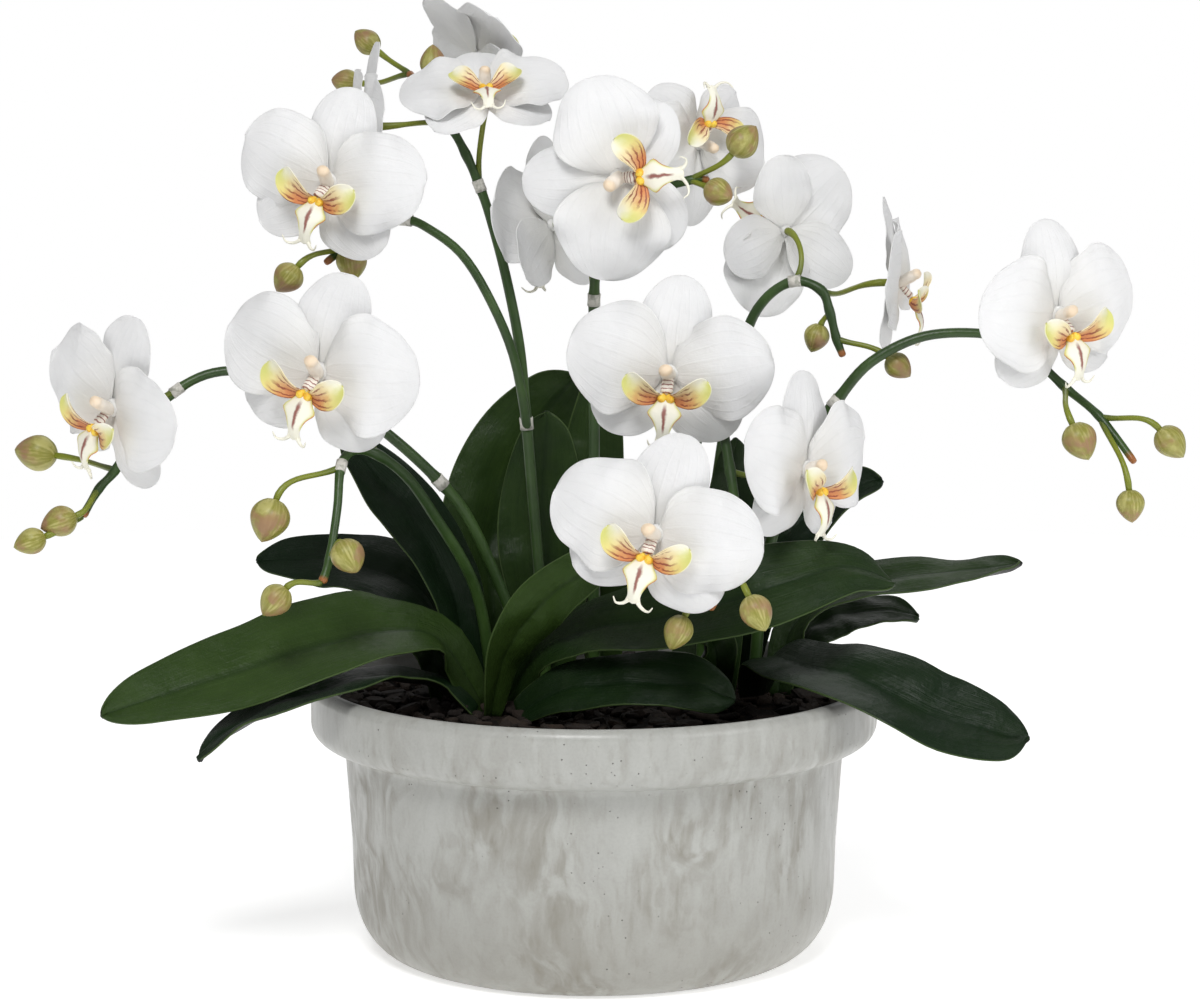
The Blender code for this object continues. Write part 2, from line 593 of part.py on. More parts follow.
def build_tepals_mesh():
    """Three sepals behind and two broad petals in front, joined at the hub."""
    body = bmesh.new()
    bmesh.ops.create_cone(body, cap_ends=True, segments=8, radius1=0.65 * HUB_RADIUS * MM, radius2=HUB_RADIUS * MM,
                          depth=(HUB_BACK + HUB_FRONT) * MM)
    bmesh.ops.translate(body, verts=body.verts, vec=Vector((0.0, 0.0, 0.5 * (HUB_FRONT - HUB_BACK) * MM)))
    hub = add_object("hub", new_mesh_from(body, "hub"), helpers)
    pieces = [hub]
    for angle, length in ((0.0, DORSAL_SEPAL_LENGTH), (LATERAL_SEPAL_ANGLE, LATERAL_SEPAL_LENGTH),
                          (-LATERAL_SEPAL_ANGLE, LATERAL_SEPAL_LENGTH)):
        piece = tepal(f"sepal_{angle:.0f}", length, SEPAL_WIDTH, SEPAL_LEVEL, 1.0, 3.0, 3, 2)
        piece.rotation_euler.z = math.radians(angle)
        pieces.append(piece)
    for angle in (PETAL_ANGLE, -PETAL_ANGLE):
        piece = tepal(f"petal_{angle:.0f}", PETAL_LENGTH, PETAL_WIDTH, PETAL_LEVEL, 4.0, 1.0, 4, 2)
        piece.rotation_euler.z = math.radians(angle)
        pieces.append(piece)
    return finish("tepals_master", union(pieces), PETAL_WHITE)


def build_lip_mesh():
    """The column, and the lip hinged at its foot: two raised side lobes and an arrow-shaped middle lobe."""
    foot = HUB_FRONT + TOUCH_GAP
    column = tube("column", [Vector((0, 0, foot)), Vector((0, 0, foot + 0.2 * COLUMN_LENGTH)),
                             Vector((0, 1.0, foot + 0.6 * COLUMN_LENGTH)), Vector((0, 0.6, foot + COLUMN_LENGTH))],
                  [0.8 * COLUMN_RADIUS, 0.8 * COLUMN_RADIUS, 0.9 * COLUMN_RADIUS, COLUMN_RADIUS])
    rows = []
    for t, spread in ((0.0, 0.35), (0.3, 0.6), (0.65, 0.5), (0.85, 1.0), (1.0, 0.25)):
        forward = foot + 2.6 + MIDLOBE_FORWARD * math.sin(math.radians(110.0 * t))
        middle = Vector((0, -1.0 - MIDLOBE_LENGTH * t, forward))
        across = Vector((0.5 * MIDLOBE_WIDTH * spread, 0, 0))
        rows.append([middle - across, middle, middle + across])
    pieces = [column, sheet("midlobe", rows, LIP_THICKNESS)]
    for side in (-1.0, 1.0):
        rows = []
        for t, spread in ((0.0, 0.35), (0.55, 1.0), (1.0, 0.6)):
            reach = SIDE_LOBE_LENGTH * t
            middle = Vector((side * (1.0 + 0.85 * reach), -8.0 + 0.4 * reach, foot + 6.5 + 0.35 * reach))
            across = Vector((-side * 0.4, 0.85, 0.3)) * (0.5 * SIDE_LOBE_WIDTH * spread)
            rows.append([middle - across, middle, middle + across])
        pieces.append(sheet(f"side_lobe_{side:.0f}", rows, LIP_THICKNESS))
    return finish("lip_master", union(pieces), LIP_YELLOW)


def build_flowers():
    tepals = build_tepals_mesh()
    lip = build_lip_mesh()
    for number, (_, _, _, hub, heading, pitch, roll, size) in enumerate(FLOWERS, 1):
        place = Matrix.Translation(on_bark(hub) * MM) @ flower_turn(heading, pitch, roll) @ Matrix.Scale(size, 4)
        for master, suffix in ((tepals, "petals"), (lip, "lip")):
            flower_piece = add_object(f"flower_{number:02d}_{suffix}", master.data, orchid)
            flower_piece.matrix_world = place
    for master in (tepals, lip):
        bpy.data.objects.remove(master, do_unlink=True)


build_pot()
build_bark()
build_leaves()
build_spikes()
build_flowers()
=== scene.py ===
"""The look of a potted moth orchid: white flowers and buds on arching spikes, strap leaves, potting
bark, and a wide round pot with a thick collar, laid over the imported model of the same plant.

Design lengths are in millimetres, and MM turns them into metres. +Z is up and the front faces -Y.
"""

import math
import random

import bpy
from mathutils import Matrix, Vector, noise


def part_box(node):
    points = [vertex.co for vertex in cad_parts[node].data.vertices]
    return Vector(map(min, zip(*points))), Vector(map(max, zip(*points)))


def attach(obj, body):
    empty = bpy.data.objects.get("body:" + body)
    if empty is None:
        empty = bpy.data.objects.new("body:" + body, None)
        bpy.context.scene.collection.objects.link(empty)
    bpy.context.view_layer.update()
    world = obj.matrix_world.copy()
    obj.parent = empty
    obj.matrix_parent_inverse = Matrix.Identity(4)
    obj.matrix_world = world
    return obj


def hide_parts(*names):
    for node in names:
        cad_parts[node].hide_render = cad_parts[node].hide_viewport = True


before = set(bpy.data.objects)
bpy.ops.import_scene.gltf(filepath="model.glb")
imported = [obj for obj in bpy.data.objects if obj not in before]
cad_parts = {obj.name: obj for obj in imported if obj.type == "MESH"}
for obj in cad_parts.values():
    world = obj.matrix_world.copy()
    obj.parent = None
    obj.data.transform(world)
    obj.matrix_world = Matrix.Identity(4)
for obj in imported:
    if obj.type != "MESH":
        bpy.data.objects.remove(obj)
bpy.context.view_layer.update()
MM = 0.001

# ---------------------------------------------------------------- pot
# The planter is cast ceramic with a thick collar round its mouth and a rounded foot. Its glaze is
# the grey of cement: streaked downwards with brown, pricked with pinholes, and softly glossy. Near
# the foot its colour is painted darker, as painted shade.

POT_SIDES = 160
COLLAR_HEIGHT = 28.0
RIM_ROUNDING = 5.0
UNDERCUT_ACROSS = 11.0
UNDERCUT_UP = 9.0
BODY_TOP_RADIUS = 114.5
BODY_LOW_RADIUS = 111.0
BASE_RADIUS = 90.0
BOTTOM_ROUNDING = 32.0
COLLAR_WALL = 9.0
BODY_WALL = 8.0
INSIDE_SLOPE = 6.0
FLOOR_THICKNESS = 10.0
FOOT_ROUNDING = 1.5
# The fillet in the corner under the collar: steps out from the body and down from the collar.
COLLAR_FILLET = ((2.5, 0.4), (0.9, 1.6), (0.0, 4.5))

pot_low, pot_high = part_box("pot")
POT_HEIGHT = pot_high.z / MM
RIM_RADIUS = 0.5 * (pot_high.x - pot_low.x) / MM

GLAZE_GREY = (0.325, 0.325, 0.305)
GLAZE_PALE = (0.40, 0.405, 0.382)
GLAZE_BROWN = (0.215, 0.202, 0.168)
PINHOLE_GREY = (0.10, 0.095, 0.085)


class Field:
    """A number that varies over a surface. Arithmetic on it adds Math nodes to its finish."""

    def __init__(self, finish, socket):
        self.finish = finish
        self.socket = socket

    def __add__(self, other):
        return self.finish.math("ADD", self, other)

    def __radd__(self, other):
        return self.finish.math("ADD", other, self)

    def __sub__(self, other):
        return self.finish.math("SUBTRACT", self, other)

    def __rsub__(self, other):
        return self.finish.math("SUBTRACT", other, self)

    def __mul__(self, other):
        return self.finish.math("MULTIPLY", self, other)

    def __rmul__(self, other):
        return self.finish.math("MULTIPLY", other, self)

    def __abs__(self):
        return self.finish.math("ABSOLUTE", self)

    def sine(self):
        return self.finish.math("SINE", self)

    def rising(self, low, high):
        """0 below low, 1 above high, and a smooth climb between them; falls if low is above high."""
        ramp = self.finish.node("MapRange", {"interpolation_type": "SMOOTHSTEP"},
                                {"Value": self, "From Min": low, "From Max": high})
        return Field(self.finish, ramp.outputs["Result"])


class Finish:
    """A surface finish: one Principled material and the nodes that vary it over a piece."""

    def __init__(self, name, **uniform):
        self.material = bpy.data.materials.new(name)
        self.material.use_nodes = True
        self.tree = self.material.node_tree
        self.shader = self.tree.nodes["Principled BSDF"]
        for name, value in uniform.items():
            socket = name.replace("_", " ").title().replace("Ior", "IOR")
            self.shader.inputs[socket].default_value = value

    def feed(self, socket, value):
        if isinstance(value, Field):
            value = value.socket
        if isinstance(value, bpy.types.NodeSocket):
            self.tree.links.new(value, socket)
        elif isinstance(value, tuple) and len(socket.default_value) == 4:
            socket.default_value = (*value, 1.0)
        else:
            socket.default_value = value

    def node(self, kind, settings, inputs):
        made = self.tree.nodes.new("ShaderNode" + kind)
        for setting, value in settings.items():
            setattr(made, setting, value)
        for socket, value in inputs.items():
            self.feed(made.inputs[socket], value)
        return made

    def math(self, operation, *values):
        made = self.node("Math", {"operation": operation}, dict(enumerate(values)))
        return Field(self, made.outputs[0])

    def measure(self, name):
        """A number stored at each corner of the mesh under this name."""
        return Field(self, self.node("Attribute", {"attribute_name": name}, {}).outputs["Fac"])

    def position(self, stretch=(1.0, 1.0, 1.0)):
        """Place in the piece in metres, each axis multiplied by its own stretch."""
        place = self.node("TexCoord", {}, {}).outputs["Object"]
        scaled = self.node("VectorMath", {"operation": "MULTIPLY"}, {0: place, 1: stretch})
        return scaled.outputs["Vector"]

    def height(self):
        place = self.node("TexCoord", {}, {}).outputs["Object"]
        return Field(self, self.node("SeparateXYZ", {}, {"Vector": place}).outputs["Z"])

    def warped(self, stretch, warp, reach):
        """Place in the piece, stretched, and pushed about by up to reach metres by a field."""
        push = self.vector(warp * reach, warp * -reach, warp * reach)
        moved = self.node("VectorMath", {"operation": "ADD"}, {0: self.position(stretch), 1: push})
        return moved.outputs["Vector"]

    def vector(self, x, y, z):
        return self.node("CombineXYZ", {}, {"X": x, "Y": y, "Z": z}).outputs["Vector"]

    def noise(self, vector, scale, detail=3.0):
        made = self.node("TexNoise", {}, {"Vector": vector, "Scale": scale, "Detail": detail})
        return Field(self, made.outputs["Fac"])

    def cells(self, vector, scale):
        """Distance to the nearest of many scattered points, as a share of their spacing."""
        made = self.node("TexVoronoi", {}, {"Vector": vector, "Scale": scale})
        return Field(self, made.outputs["Distance"])

    def mix(self, share, first, second):
        """The first colour where share is 0, the second where it is 1."""
        # A colour Mix node's factor and two colours are its inputs 0, 6 and 7, and its result output 2.
        made = self.node("Mix", {"data_type": "RGBA"}, {0: share, 6: first, 7: second})
        return made.outputs[2]

    def set(self, colour=None, roughness=None, relief=None, depth=0.0):
        """Drives the shader. Relief is a height from 0 to 1 that stands for a depth in mm."""
        if colour is not None:
            self.feed(self.shader.inputs["Base Color"], colour)
        if roughness is not None:
            self.feed(self.shader.inputs["Roughness"], roughness)
        if relief is not None:
            bump = self.node("Bump", {}, {"Height": relief, "Distance": depth * MM})
            self.feed(self.shader.inputs["Normal"], bump.outputs["Normal"])


class Shape:
    """A mesh in the making: corners in mm, faces, and the measures that its finish reads."""

    def __init__(self, *measures):
        self.corners = []
        self.faces = []
        self.measures = {name: [] for name in measures}

    def add(self, corners, faces, **measures):
        first = len(self.corners)
        self.corners += corners
        self.faces += [[first + corner for corner in face] for face in faces]
        for name, values in self.measures.items():
            given = measures.get(name, 0.0)
            values += given if isinstance(given, list) else [given] * len(corners)

    def piece(self, name, finish, place=Matrix.Identity(4), smooth=True):
        mesh = bpy.data.meshes.new(name)
        mesh.from_pydata([place @ (corner * MM) for corner in self.corners], [], self.faces)
        for measure, values in self.measures.items():
            layer = mesh.attributes.new(measure, "FLOAT", "POINT")
            layer.data.foreach_set("value", values)
        mesh.materials.append(finish.material)
        if smooth:
            mesh.shade_smooth()
        mesh.validate()
        made = bpy.data.objects.new(name, mesh)
        bpy.context.scene.collection.objects.link(made)
        return made


def install(piece, slot, *nodes):
    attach(piece, "root")
    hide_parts(*nodes)


def arc(centre_radius, centre_height, across, up, start, end, steps):
    """Points of part of an ellipse, as (radius, height) in mm; angles in degrees."""
    points = []
    for step in range(steps + 1):
        angle = math.radians(start + (end - start) * step / steps)
        points.append((centre_radius + across * math.cos(angle), centre_height + up * math.sin(angle)))
    return points


def circle(radius, height, sides):
    angles = [2.0 * math.pi * side / sides for side in range(sides)]
    return [Vector((radius * math.cos(angle), radius * math.sin(angle), height)) for angle in angles]


def fan(centre, ring, sides, inward=False):
    """Triangles from one corner to the ring of corners that starts at ring."""
    faces = [[centre, ring + side, ring + (side + 1) % sides] for side in range(sides)]
    return [[face[0], face[2], face[1]] for face in faces] if inward else faces


def band(low, high, sides, inward=False):
    """Faces that join two rings of corners, which start at low and at high."""
    faces = []
    for side in range(sides):
        beside = (side + 1) % sides
        face = [low + side, high + side, high + beside, low + beside]
        faces.append(face[:1] + face[:0:-1] if inward else face)
    return faces


def turn(shape, profile, sides):
    """Adds a solid of revolution; the profile runs from axis to axis, in (radius, height)."""
    rings = profile[1:-1]
    corners = [Vector((0.0, 0.0, profile[0][1])), Vector((0.0, 0.0, profile[-1][1]))]
    for radius, height in rings:
        corners += circle(radius, height, sides)
    last = 2 + (len(rings) - 1) * sides
    faces = fan(0, 2, sides) + fan(1, last, sides, inward=True)
    for low in range(2, last, sides):
        faces += band(low, low + sides, sides)
    shape.add(corners, faces)


collar_bottom = POT_HEIGHT - COLLAR_HEIGHT
slope_top = collar_bottom + INSIDE_SLOPE
slope_bottom = collar_bottom - INSIDE_SLOPE
mouth_radius = RIM_RADIUS - COLLAR_WALL
body_inside_radius = BODY_TOP_RADIUS - BODY_WALL
floor_radius = BASE_RADIUS - BODY_WALL
low_radius = BODY_LOW_RADIUS - BODY_WALL

pot_profile = [(0.0, FLOOR_THICKNESS)]
pot_profile += arc(floor_radius, FLOOR_THICKNESS + BOTTOM_ROUNDING, low_radius - floor_radius,
                   BOTTOM_ROUNDING, -90, 0, 8)
pot_profile.append((body_inside_radius, slope_bottom))
pot_profile.append((mouth_radius, slope_top))
pot_profile += arc(mouth_radius + 0.5 * COLLAR_WALL, POT_HEIGHT - RIM_ROUNDING, 0.5 * COLLAR_WALL,
                   RIM_ROUNDING, 180, 0, 16)
pot_profile += arc(RIM_RADIUS - UNDERCUT_ACROSS, collar_bottom + UNDERCUT_UP, UNDERCUT_ACROSS,
                   UNDERCUT_UP, 0, -85, 10)
pot_profile += [(BODY_TOP_RADIUS + out, collar_bottom - down) for out, down in COLLAR_FILLET]
pot_profile.append((BODY_LOW_RADIUS + 0.6, BOTTOM_ROUNDING + 20.0))
pot_profile += arc(BASE_RADIUS, BOTTOM_ROUNDING, BODY_LOW_RADIUS - BASE_RADIUS, BOTTOM_ROUNDING,
                   0, -80, 12)
pot_profile += arc(BASE_RADIUS, FOOT_ROUNDING, FOOT_ROUNDING, FOOT_ROUNDING, -30, -90, 3)
pot_profile.append((0.0, 0.0))

pot_shape = Shape()
turn(pot_shape, pot_profile, POT_SIDES)

glaze = Finish("pot_glaze", ior=1.45)
stain_warp = glaze.noise(glaze.position(), 12.0, 3.0)
stain = glaze.noise(glaze.warped((1.0, 1.0, 0.6), stain_warp, 0.08), 22.0, 8.0)
streaks = glaze.noise(glaze.warped((1.0, 1.0, 0.28), stain_warp, 0.06), 135.0, 8.0)
fine_streaks = glaze.noise(glaze.position((1.0, 1.0, 0.30)), 260.0, 6.0)
speckle = glaze.noise(glaze.position(), 800.0, 3.0)
sparse = glaze.noise(glaze.position(), 31.0, 1.0)
pinholes = glaze.cells(glaze.position(), 260.0).rising(0.11, 0.05) * sparse.rising(0.45, 0.62)
height = glaze.height()
stained = stain.rising(0.38, 0.66) * streaks.rising(0.32, 0.64) * height.rising(0.14, 0.08) * 0.75
greyed = streaks.rising(0.3, 0.7) * 0.4 + speckle.rising(0.4, 0.7) * 0.25
glaze_colour = glaze.mix(greyed, GLAZE_PALE, GLAZE_GREY)
glaze_colour = glaze.mix(stained + fine_streaks.rising(0.50, 0.75) * 0.30, glaze_colour, GLAZE_BROWN)
# Painted shade: the glaze turns darker and browner towards the foot.
glaze_colour = glaze.mix(height.rising(0.075, 0.0) * 0.50, glaze_colour, GLAZE_BROWN)
glaze_colour = glaze.mix(pinholes * 0.8, glaze_colour, PINHOLE_GREY)
glaze.set(colour=glaze_colour,
          roughness=0.24 + streaks * 0.16 + stained * 0.15 + pinholes * 0.4,
          relief=stain * 0.3 + streaks * 0.1 + fine_streaks * 0.15 + speckle * 0.08 - pinholes * 0.6,
          depth=0.7)

install(pot_shape.piece("planter", glaze), "pot_cement", "pot")

# ---------------------------------------------------------------- potting bark
# The plants are bedded in chipped bark, dark brown and dry. A bumpy bed fills the pot, and loose
# chips of every size lie on it at all angles.

BED_RINGS = 40
BED_SIDES = 120
BED_BUMP = 1.6
BED_BUMP_SIZE = 9.0
TOUCH_GAP = 0.3
CHIP_COUNT = 620
CHIP_LENGTHS = (7.0, 19.0)
CHIP_WIDTH_SHARES = (0.35, 0.7)
CHIP_THICKNESSES = (1.5, 3.6)
CHIP_LIFT = 3.0
CHIP_TILTS = (0.28, 0.22)
CHIP_CORNERS = 7
CHIP_ROUGHNESS = 0.08
# The four outlines of a chip from top to bottom: share of its size, and height in thicknesses.
CHIP_LAYERS = ((0.78, 0.5), (1.0, 0.18), (1.0, -0.2), (0.8, -0.5))

BARK_DARK = (0.007, 0.005, 0.0045)
BARK_WARM = (0.028, 0.018, 0.012)
BARK_GREY = (0.05, 0.04, 0.033)

bark_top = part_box("potting_bark")[1].z / MM
bed_radius = mouth_radius - TOUCH_GAP


def bed_bump(point):
    near_wall = min(1.0, (bed_radius - point.xy.length) / BED_BUMP_SIZE)
    return BED_BUMP * near_wall * noise.noise(point / BED_BUMP_SIZE)


bed_bottom = FLOOR_THICKNESS + TOUCH_GAP
bed_wall = [(bed_radius, slope_top), (body_inside_radius - TOUCH_GAP, slope_bottom),
            (low_radius - TOUCH_GAP, BOTTOM_ROUNDING + FLOOR_THICKNESS), (floor_radius, bed_bottom)]
bed_corners = [Vector((0.0, 0.0, bark_top))]
for ring in range(1, BED_RINGS + 1):
    for spot in circle(bed_radius * ring / BED_RINGS, 0.0, BED_SIDES):
        bed_corners.append(Vector((spot.x, spot.y, bark_top + bed_bump(spot))))
for radius, height in bed_wall:
    bed_corners += circle(radius, height, BED_SIDES)
bed_last = len(bed_corners) - BED_SIDES
bed_corners.append(Vector((0.0, 0.0, bed_bottom)))
bed_faces = fan(0, 1, BED_SIDES) + fan(len(bed_corners) - 1, bed_last, BED_SIDES, inward=True)
for low in range(1, bed_last, BED_SIDES):
    bed_faces += band(low, low + BED_SIDES, BED_SIDES)
bed_shape = Shape()
bed_shape.add(bed_corners, bed_faces)


def bark_chip(shape, dice):
    """Adds one chip: a thin slab with a ragged outline, lying on the bed at a chance angle."""
    length = dice.uniform(*CHIP_LENGTHS)
    width = length * dice.uniform(*CHIP_WIDTH_SHARES)
    thickness = dice.uniform(*CHIP_THICKNESSES)
    distance = (mouth_radius - 0.5 * length - 1.0) * math.sqrt(dice.random())
    bearing = dice.uniform(0.0, 2.0 * math.pi)
    tilt = Matrix.Rotation(dice.gauss(0.0, CHIP_TILTS[0]), 4, "X")
    tilt = tilt @ Matrix.Rotation(dice.gauss(0.0, CHIP_TILTS[1]), 4, "Y")
    spin = Matrix.Rotation(dice.uniform(0.0, 2.0 * math.pi), 4, "Z")
    spot = Vector((distance * math.cos(bearing), distance * math.sin(bearing),
                   bark_top + 0.3 * thickness + dice.uniform(0.0, CHIP_LIFT)))
    place = Matrix.Translation(spot) @ spin @ tilt
    outline = [dice.uniform(0.72, 1.0) for _ in range(CHIP_CORNERS)]
    corners = []
    for share, height in CHIP_LAYERS:
        for reach, way in zip(outline, circle(0.5 * share, 0.0, CHIP_CORNERS)):
            rise = thickness * (height + dice.uniform(-CHIP_ROUGHNESS, CHIP_ROUGHNESS))
            corners.append(place @ Vector((length * reach * way.x, width * reach * way.y, rise)))
    last = len(corners) - CHIP_CORNERS
    faces = [list(range(CHIP_CORNERS)), list(reversed(range(last, len(corners))))]
    for low in range(0, last, CHIP_CORNERS):
        faces += band(low, low + CHIP_CORNERS, CHIP_CORNERS)
    shape.add(corners, faces, tone=dice.random())


chip_dice = random.Random(11)
chips_shape = Shape("tone")
for _ in range(CHIP_COUNT):
    bark_chip(chips_shape, chip_dice)

bark = Finish("bark_chip", specular_ior_level=0.3)
bark_fibre = bark.noise(bark.position((1.0, 0.35, 1.0)), 420.0, 5.0)
bark_cloud = bark.noise(bark.position(), 60.0, 3.0)
bark_colour = bark.mix(bark.measure("tone") * 0.7 + bark_cloud * 0.3, BARK_DARK, BARK_WARM)
bark_colour = bark.mix(bark_fibre.rising(0.55, 0.75) * 0.35, bark_colour, BARK_GREY)
bark.set(colour=bark_colour, roughness=0.75 + bark_fibre * 0.2, relief=bark_fibre, depth=0.9)

bed = Finish("bark_bed", specular_ior_level=0.2)
bed_grain = bed.noise(bed.position(), 300.0, 6.0)
bed.set(colour=bed.mix(bed_grain.rising(0.4, 0.7), BARK_DARK, BARK_WARM), roughness=0.8 + bed_grain * 0.15,
        relief=bed_grain, depth=1.5)

install(bed_shape.piece("bark_bed", bed), "bark", "potting_bark")
install(chips_shape.piece("bark_chips", bark, smooth=False), "bark", "potting_bark")

# ---------------------------------------------------------------- leaves
# Strap leaves grow from three clumps. Each is thick, leathery and channelled down its middle, dark
# green above, with a fine lengthwise grain, a waxy shine and a pale edge. Its underside is painted
# almost black and its channel a darker green, as painted shade.

LEAF_THICKNESS = 2.4
LEAF_EDGE_THICKNESS = 0.9
LEAF_FOLD = 0.30
LEAF_STATIONS = 44
LEAF_COLUMNS = 16
EDGE_WAVE = 1.8
EDGE_WAVE_RATE = 9.0
BLADE_WAVE = 2.2
WIDTH_WAVE = 0.04
WIDTH_WAVE_RATE = 8.0
LEAF_TIP_START = 0.90
LEAF_BASE_WIDTH = 0.30

LEAF_DEEP = (0.005, 0.015, 0.005)
LEAF_MID = (0.034, 0.066, 0.012)
LEAF_UNDERSIDE_SHADE = (0.006, 0.008, 0.005)
LEAF_EDGE = (0.07, 0.11, 0.035)

# Each row: name, route from the bark to the tip as (x, y, height above the bark), greatest width,
# the way its upper face looks near the base and near the tip, and how light its green is. That
# lightness is partly the leaf's own tone and partly painted shade: leaves that lie in shadow are given
# a darker green.
RISING_LEAVES = [
    ("leaf_left_back", [(-60, 14, 0), (-78, 26, 40), (-102, 38, 54), (-128, 49, 57), (-160, 60, 56)],
     36, (0.1, -0.7, 0.7), (0.1, -0.7, 0.7), 0.0),
    ("leaf_left_rising", [(-56.3, 4, 0), (-64.3, 9, 46), (-78, 14, 76), (-96, 19, 99), (-116, 23, 118)],
     36, (0.7, -0.7, 0.2), (0.5, -0.7, 0.5), 0.0),
    ("leaf_left_small", [(-70, -2, 0), (-73, -1, 18), (-79, 0, 31), (-90, 2, 33)],
     20, (0.4, -0.6, 0.6), (0.1, -0.6, 0.8), 0.5),
    ("leaf_back_broad", [(-44, 46, 0), (-50, 54, 46), (-47, 62, 80), (-34, 68, 114), (-9, 70, 144)],
     54, (0.25, -1.0, 0.1), (0.2, -1.0, 0.3), 0.6),
    ("leaf_centre_upright", [(-20, 36, 0), (-22, 40, 50), (-24, 43, 90), (-22, 44, 130)],
     42, (0.0, -1.0, 0.1), (0.0, -1.0, 0.2), 0.5),
    ("leaf_centre_back", [(4, 52, 0), (1, 54, 60), (-1, 58, 105), (3, 62, 150)],
     32, (0.3, -1.0, 0.0), (0.3, -1.0, 0.2), 0.6),
    ("leaf_centre_strap", [(-47, -27, 0), (-41, -36, 28), (-25, -48, 52), (-6, -58, 68), (9, -64, 77)],
     25, (0.6, -0.7, 0.3), (0.3, -0.8, 0.6), 0.9),
    ("leaf_centre_right", [(-40, -12, 0), (-25, -28, 25), (-3, -44, 38), (25, -56, 45), (56, -64, 54),
                           (86, -67, 64), (113, -64, 70), (132, -58, 62)],
     42, (0.2, -0.7, 0.7), (0.1, -0.65, 0.75), 0.4),
    ("leaf_right_under", [(92, 22, 0), (97, 32, 22), (112, 42, 31), (134, 47, 33), (153, 50, 30)],
     30, (0.0, -0.5, 0.85), (0.0, -0.4, 0.9), 0.3),
    ("leaf_right_far", [(86, 14, 0), (94, 20, 32), (119, 25, 47), (150, 24, 54), (180, 20, 58),
                        (198, 18, 62)],
     30, (0.0, -0.25, 1.0), (0.1, -0.35, 0.95), 0.5),
    ("leaf_right_back", [(70, 40, 0), (77, 44, 45), (92, 48, 72), (112, 50, 89), (135, 50, 97)],
     34, (-0.3, -0.8, 0.5), (-0.1, -0.6, 0.8), 0.0),
    ("leaf_right_upright", [(60, 14, 0), (60, 12, 50), (62, 8, 90), (65, 2, 122)],
     24, (0.2, -1.0, 0.1), (0.2, -1.0, 0.2), 0.4),
    ("leaf_rear_left", [(-34, 62, 0), (-44, 82, 34), (-60, 108, 52), (-80, 138, 50), (-98, 166, 34)],
     42, (-0.1, -0.2, 1.0), (-0.2, 0.3, 1.0), 0.6),
    ("leaf_rear_right", [(46, 60, 0), (54, 80, 32), (68, 106, 50), (88, 134, 50), (108, 160, 36)],
     42, (0.1, -0.2, 1.0), (0.2, 0.3, 1.0), 0.5),
    ("leaf_right_small", [(58, -10, 0), (56, -16, 24), (50, -22, 36), (40, -28, 38)],
     20, (-0.2, -0.7, 0.6), (0.0, -0.7, 0.7), 0.4),
]

# Leaves that drape over the rim. After the first point, each row's points are a bearing in
# degrees, the distance past the rim, and the height above the top of the rim. The other columns are
# as above, and their lightness, too, is partly painted shade.
DRAPED_LEAVES = [
    ("leaf_left_front", (-52, -10, 0),
     [(196, -56, 19), (202, -27, 25), (203, 2, 22), (203, 31, 15), (202, 66, 6), (202, 101, -2)],
     50, (0.0, -0.4, 0.9), (-0.1, -0.75, 0.65), 0.8),
    ("leaf_left_low", (-54, -31, 0),
     [(206, -52, 0), (207, -29, 6), (210, -3, 7), (210, 24, 1), (208, 47, -9), (207, 62, -22)],
     32, (0.0, -0.2, 1.0), (-0.5, -0.3, 0.8), 0.1),
    ("leaf_front_short", (-34, -38, 0),
     [(257, -74, 1), (283, -63, 6), (301, -49, 6), (311, -36, 0)],
     32, (0.1, -0.7, 0.7), (0.1, -0.7, 0.7), 0.2),
    ("leaf_right_front", (76, 4, 0),
     [(349, -49, 8), (338, -33, 9), (332, -9, 9), (331, 18, 3), (332, 41, -6), (334, 66, -12),
      (335, 78, -13)],
     46, (0.0, -0.5, 0.87), (0.1, -0.6, 0.8), 0.1),
]


def between(route, place):
    """The value of a smooth curve through the route, at a place counted in joints from its start."""
    index = min(int(place), len(route) - 2)
    t = place - index
    before = route[max(index - 1, 0)]
    here = route[index]
    after = route[index + 1]
    beyond = route[min(index + 2, len(route) - 1)]
    return 0.5 * (2.0 * here + (after - before) * t
                  + (2.0 * before - 5.0 * here + 4.0 * after - beyond) * t * t
                  + (3.0 * here - before - 3.0 * after + beyond) * t * t * t)


def direction(route, place, step=0.05):
    """The way a route runs at a place."""
    last = len(route) - 1
    ahead = between(route, min(place + step, last))
    return (ahead - between(route, max(place - step, 0.0))).normalized()


def on_bark(point):
    x, y, height = point
    return Vector((x, y, bark_top + TOUCH_GAP + height))


def near_rim(point):
    bearing, past, height = point
    angle = math.radians(bearing)
    radius = RIM_RADIUS + past
    return Vector((radius * math.cos(angle), radius * math.sin(angle), POT_HEIGHT + height))


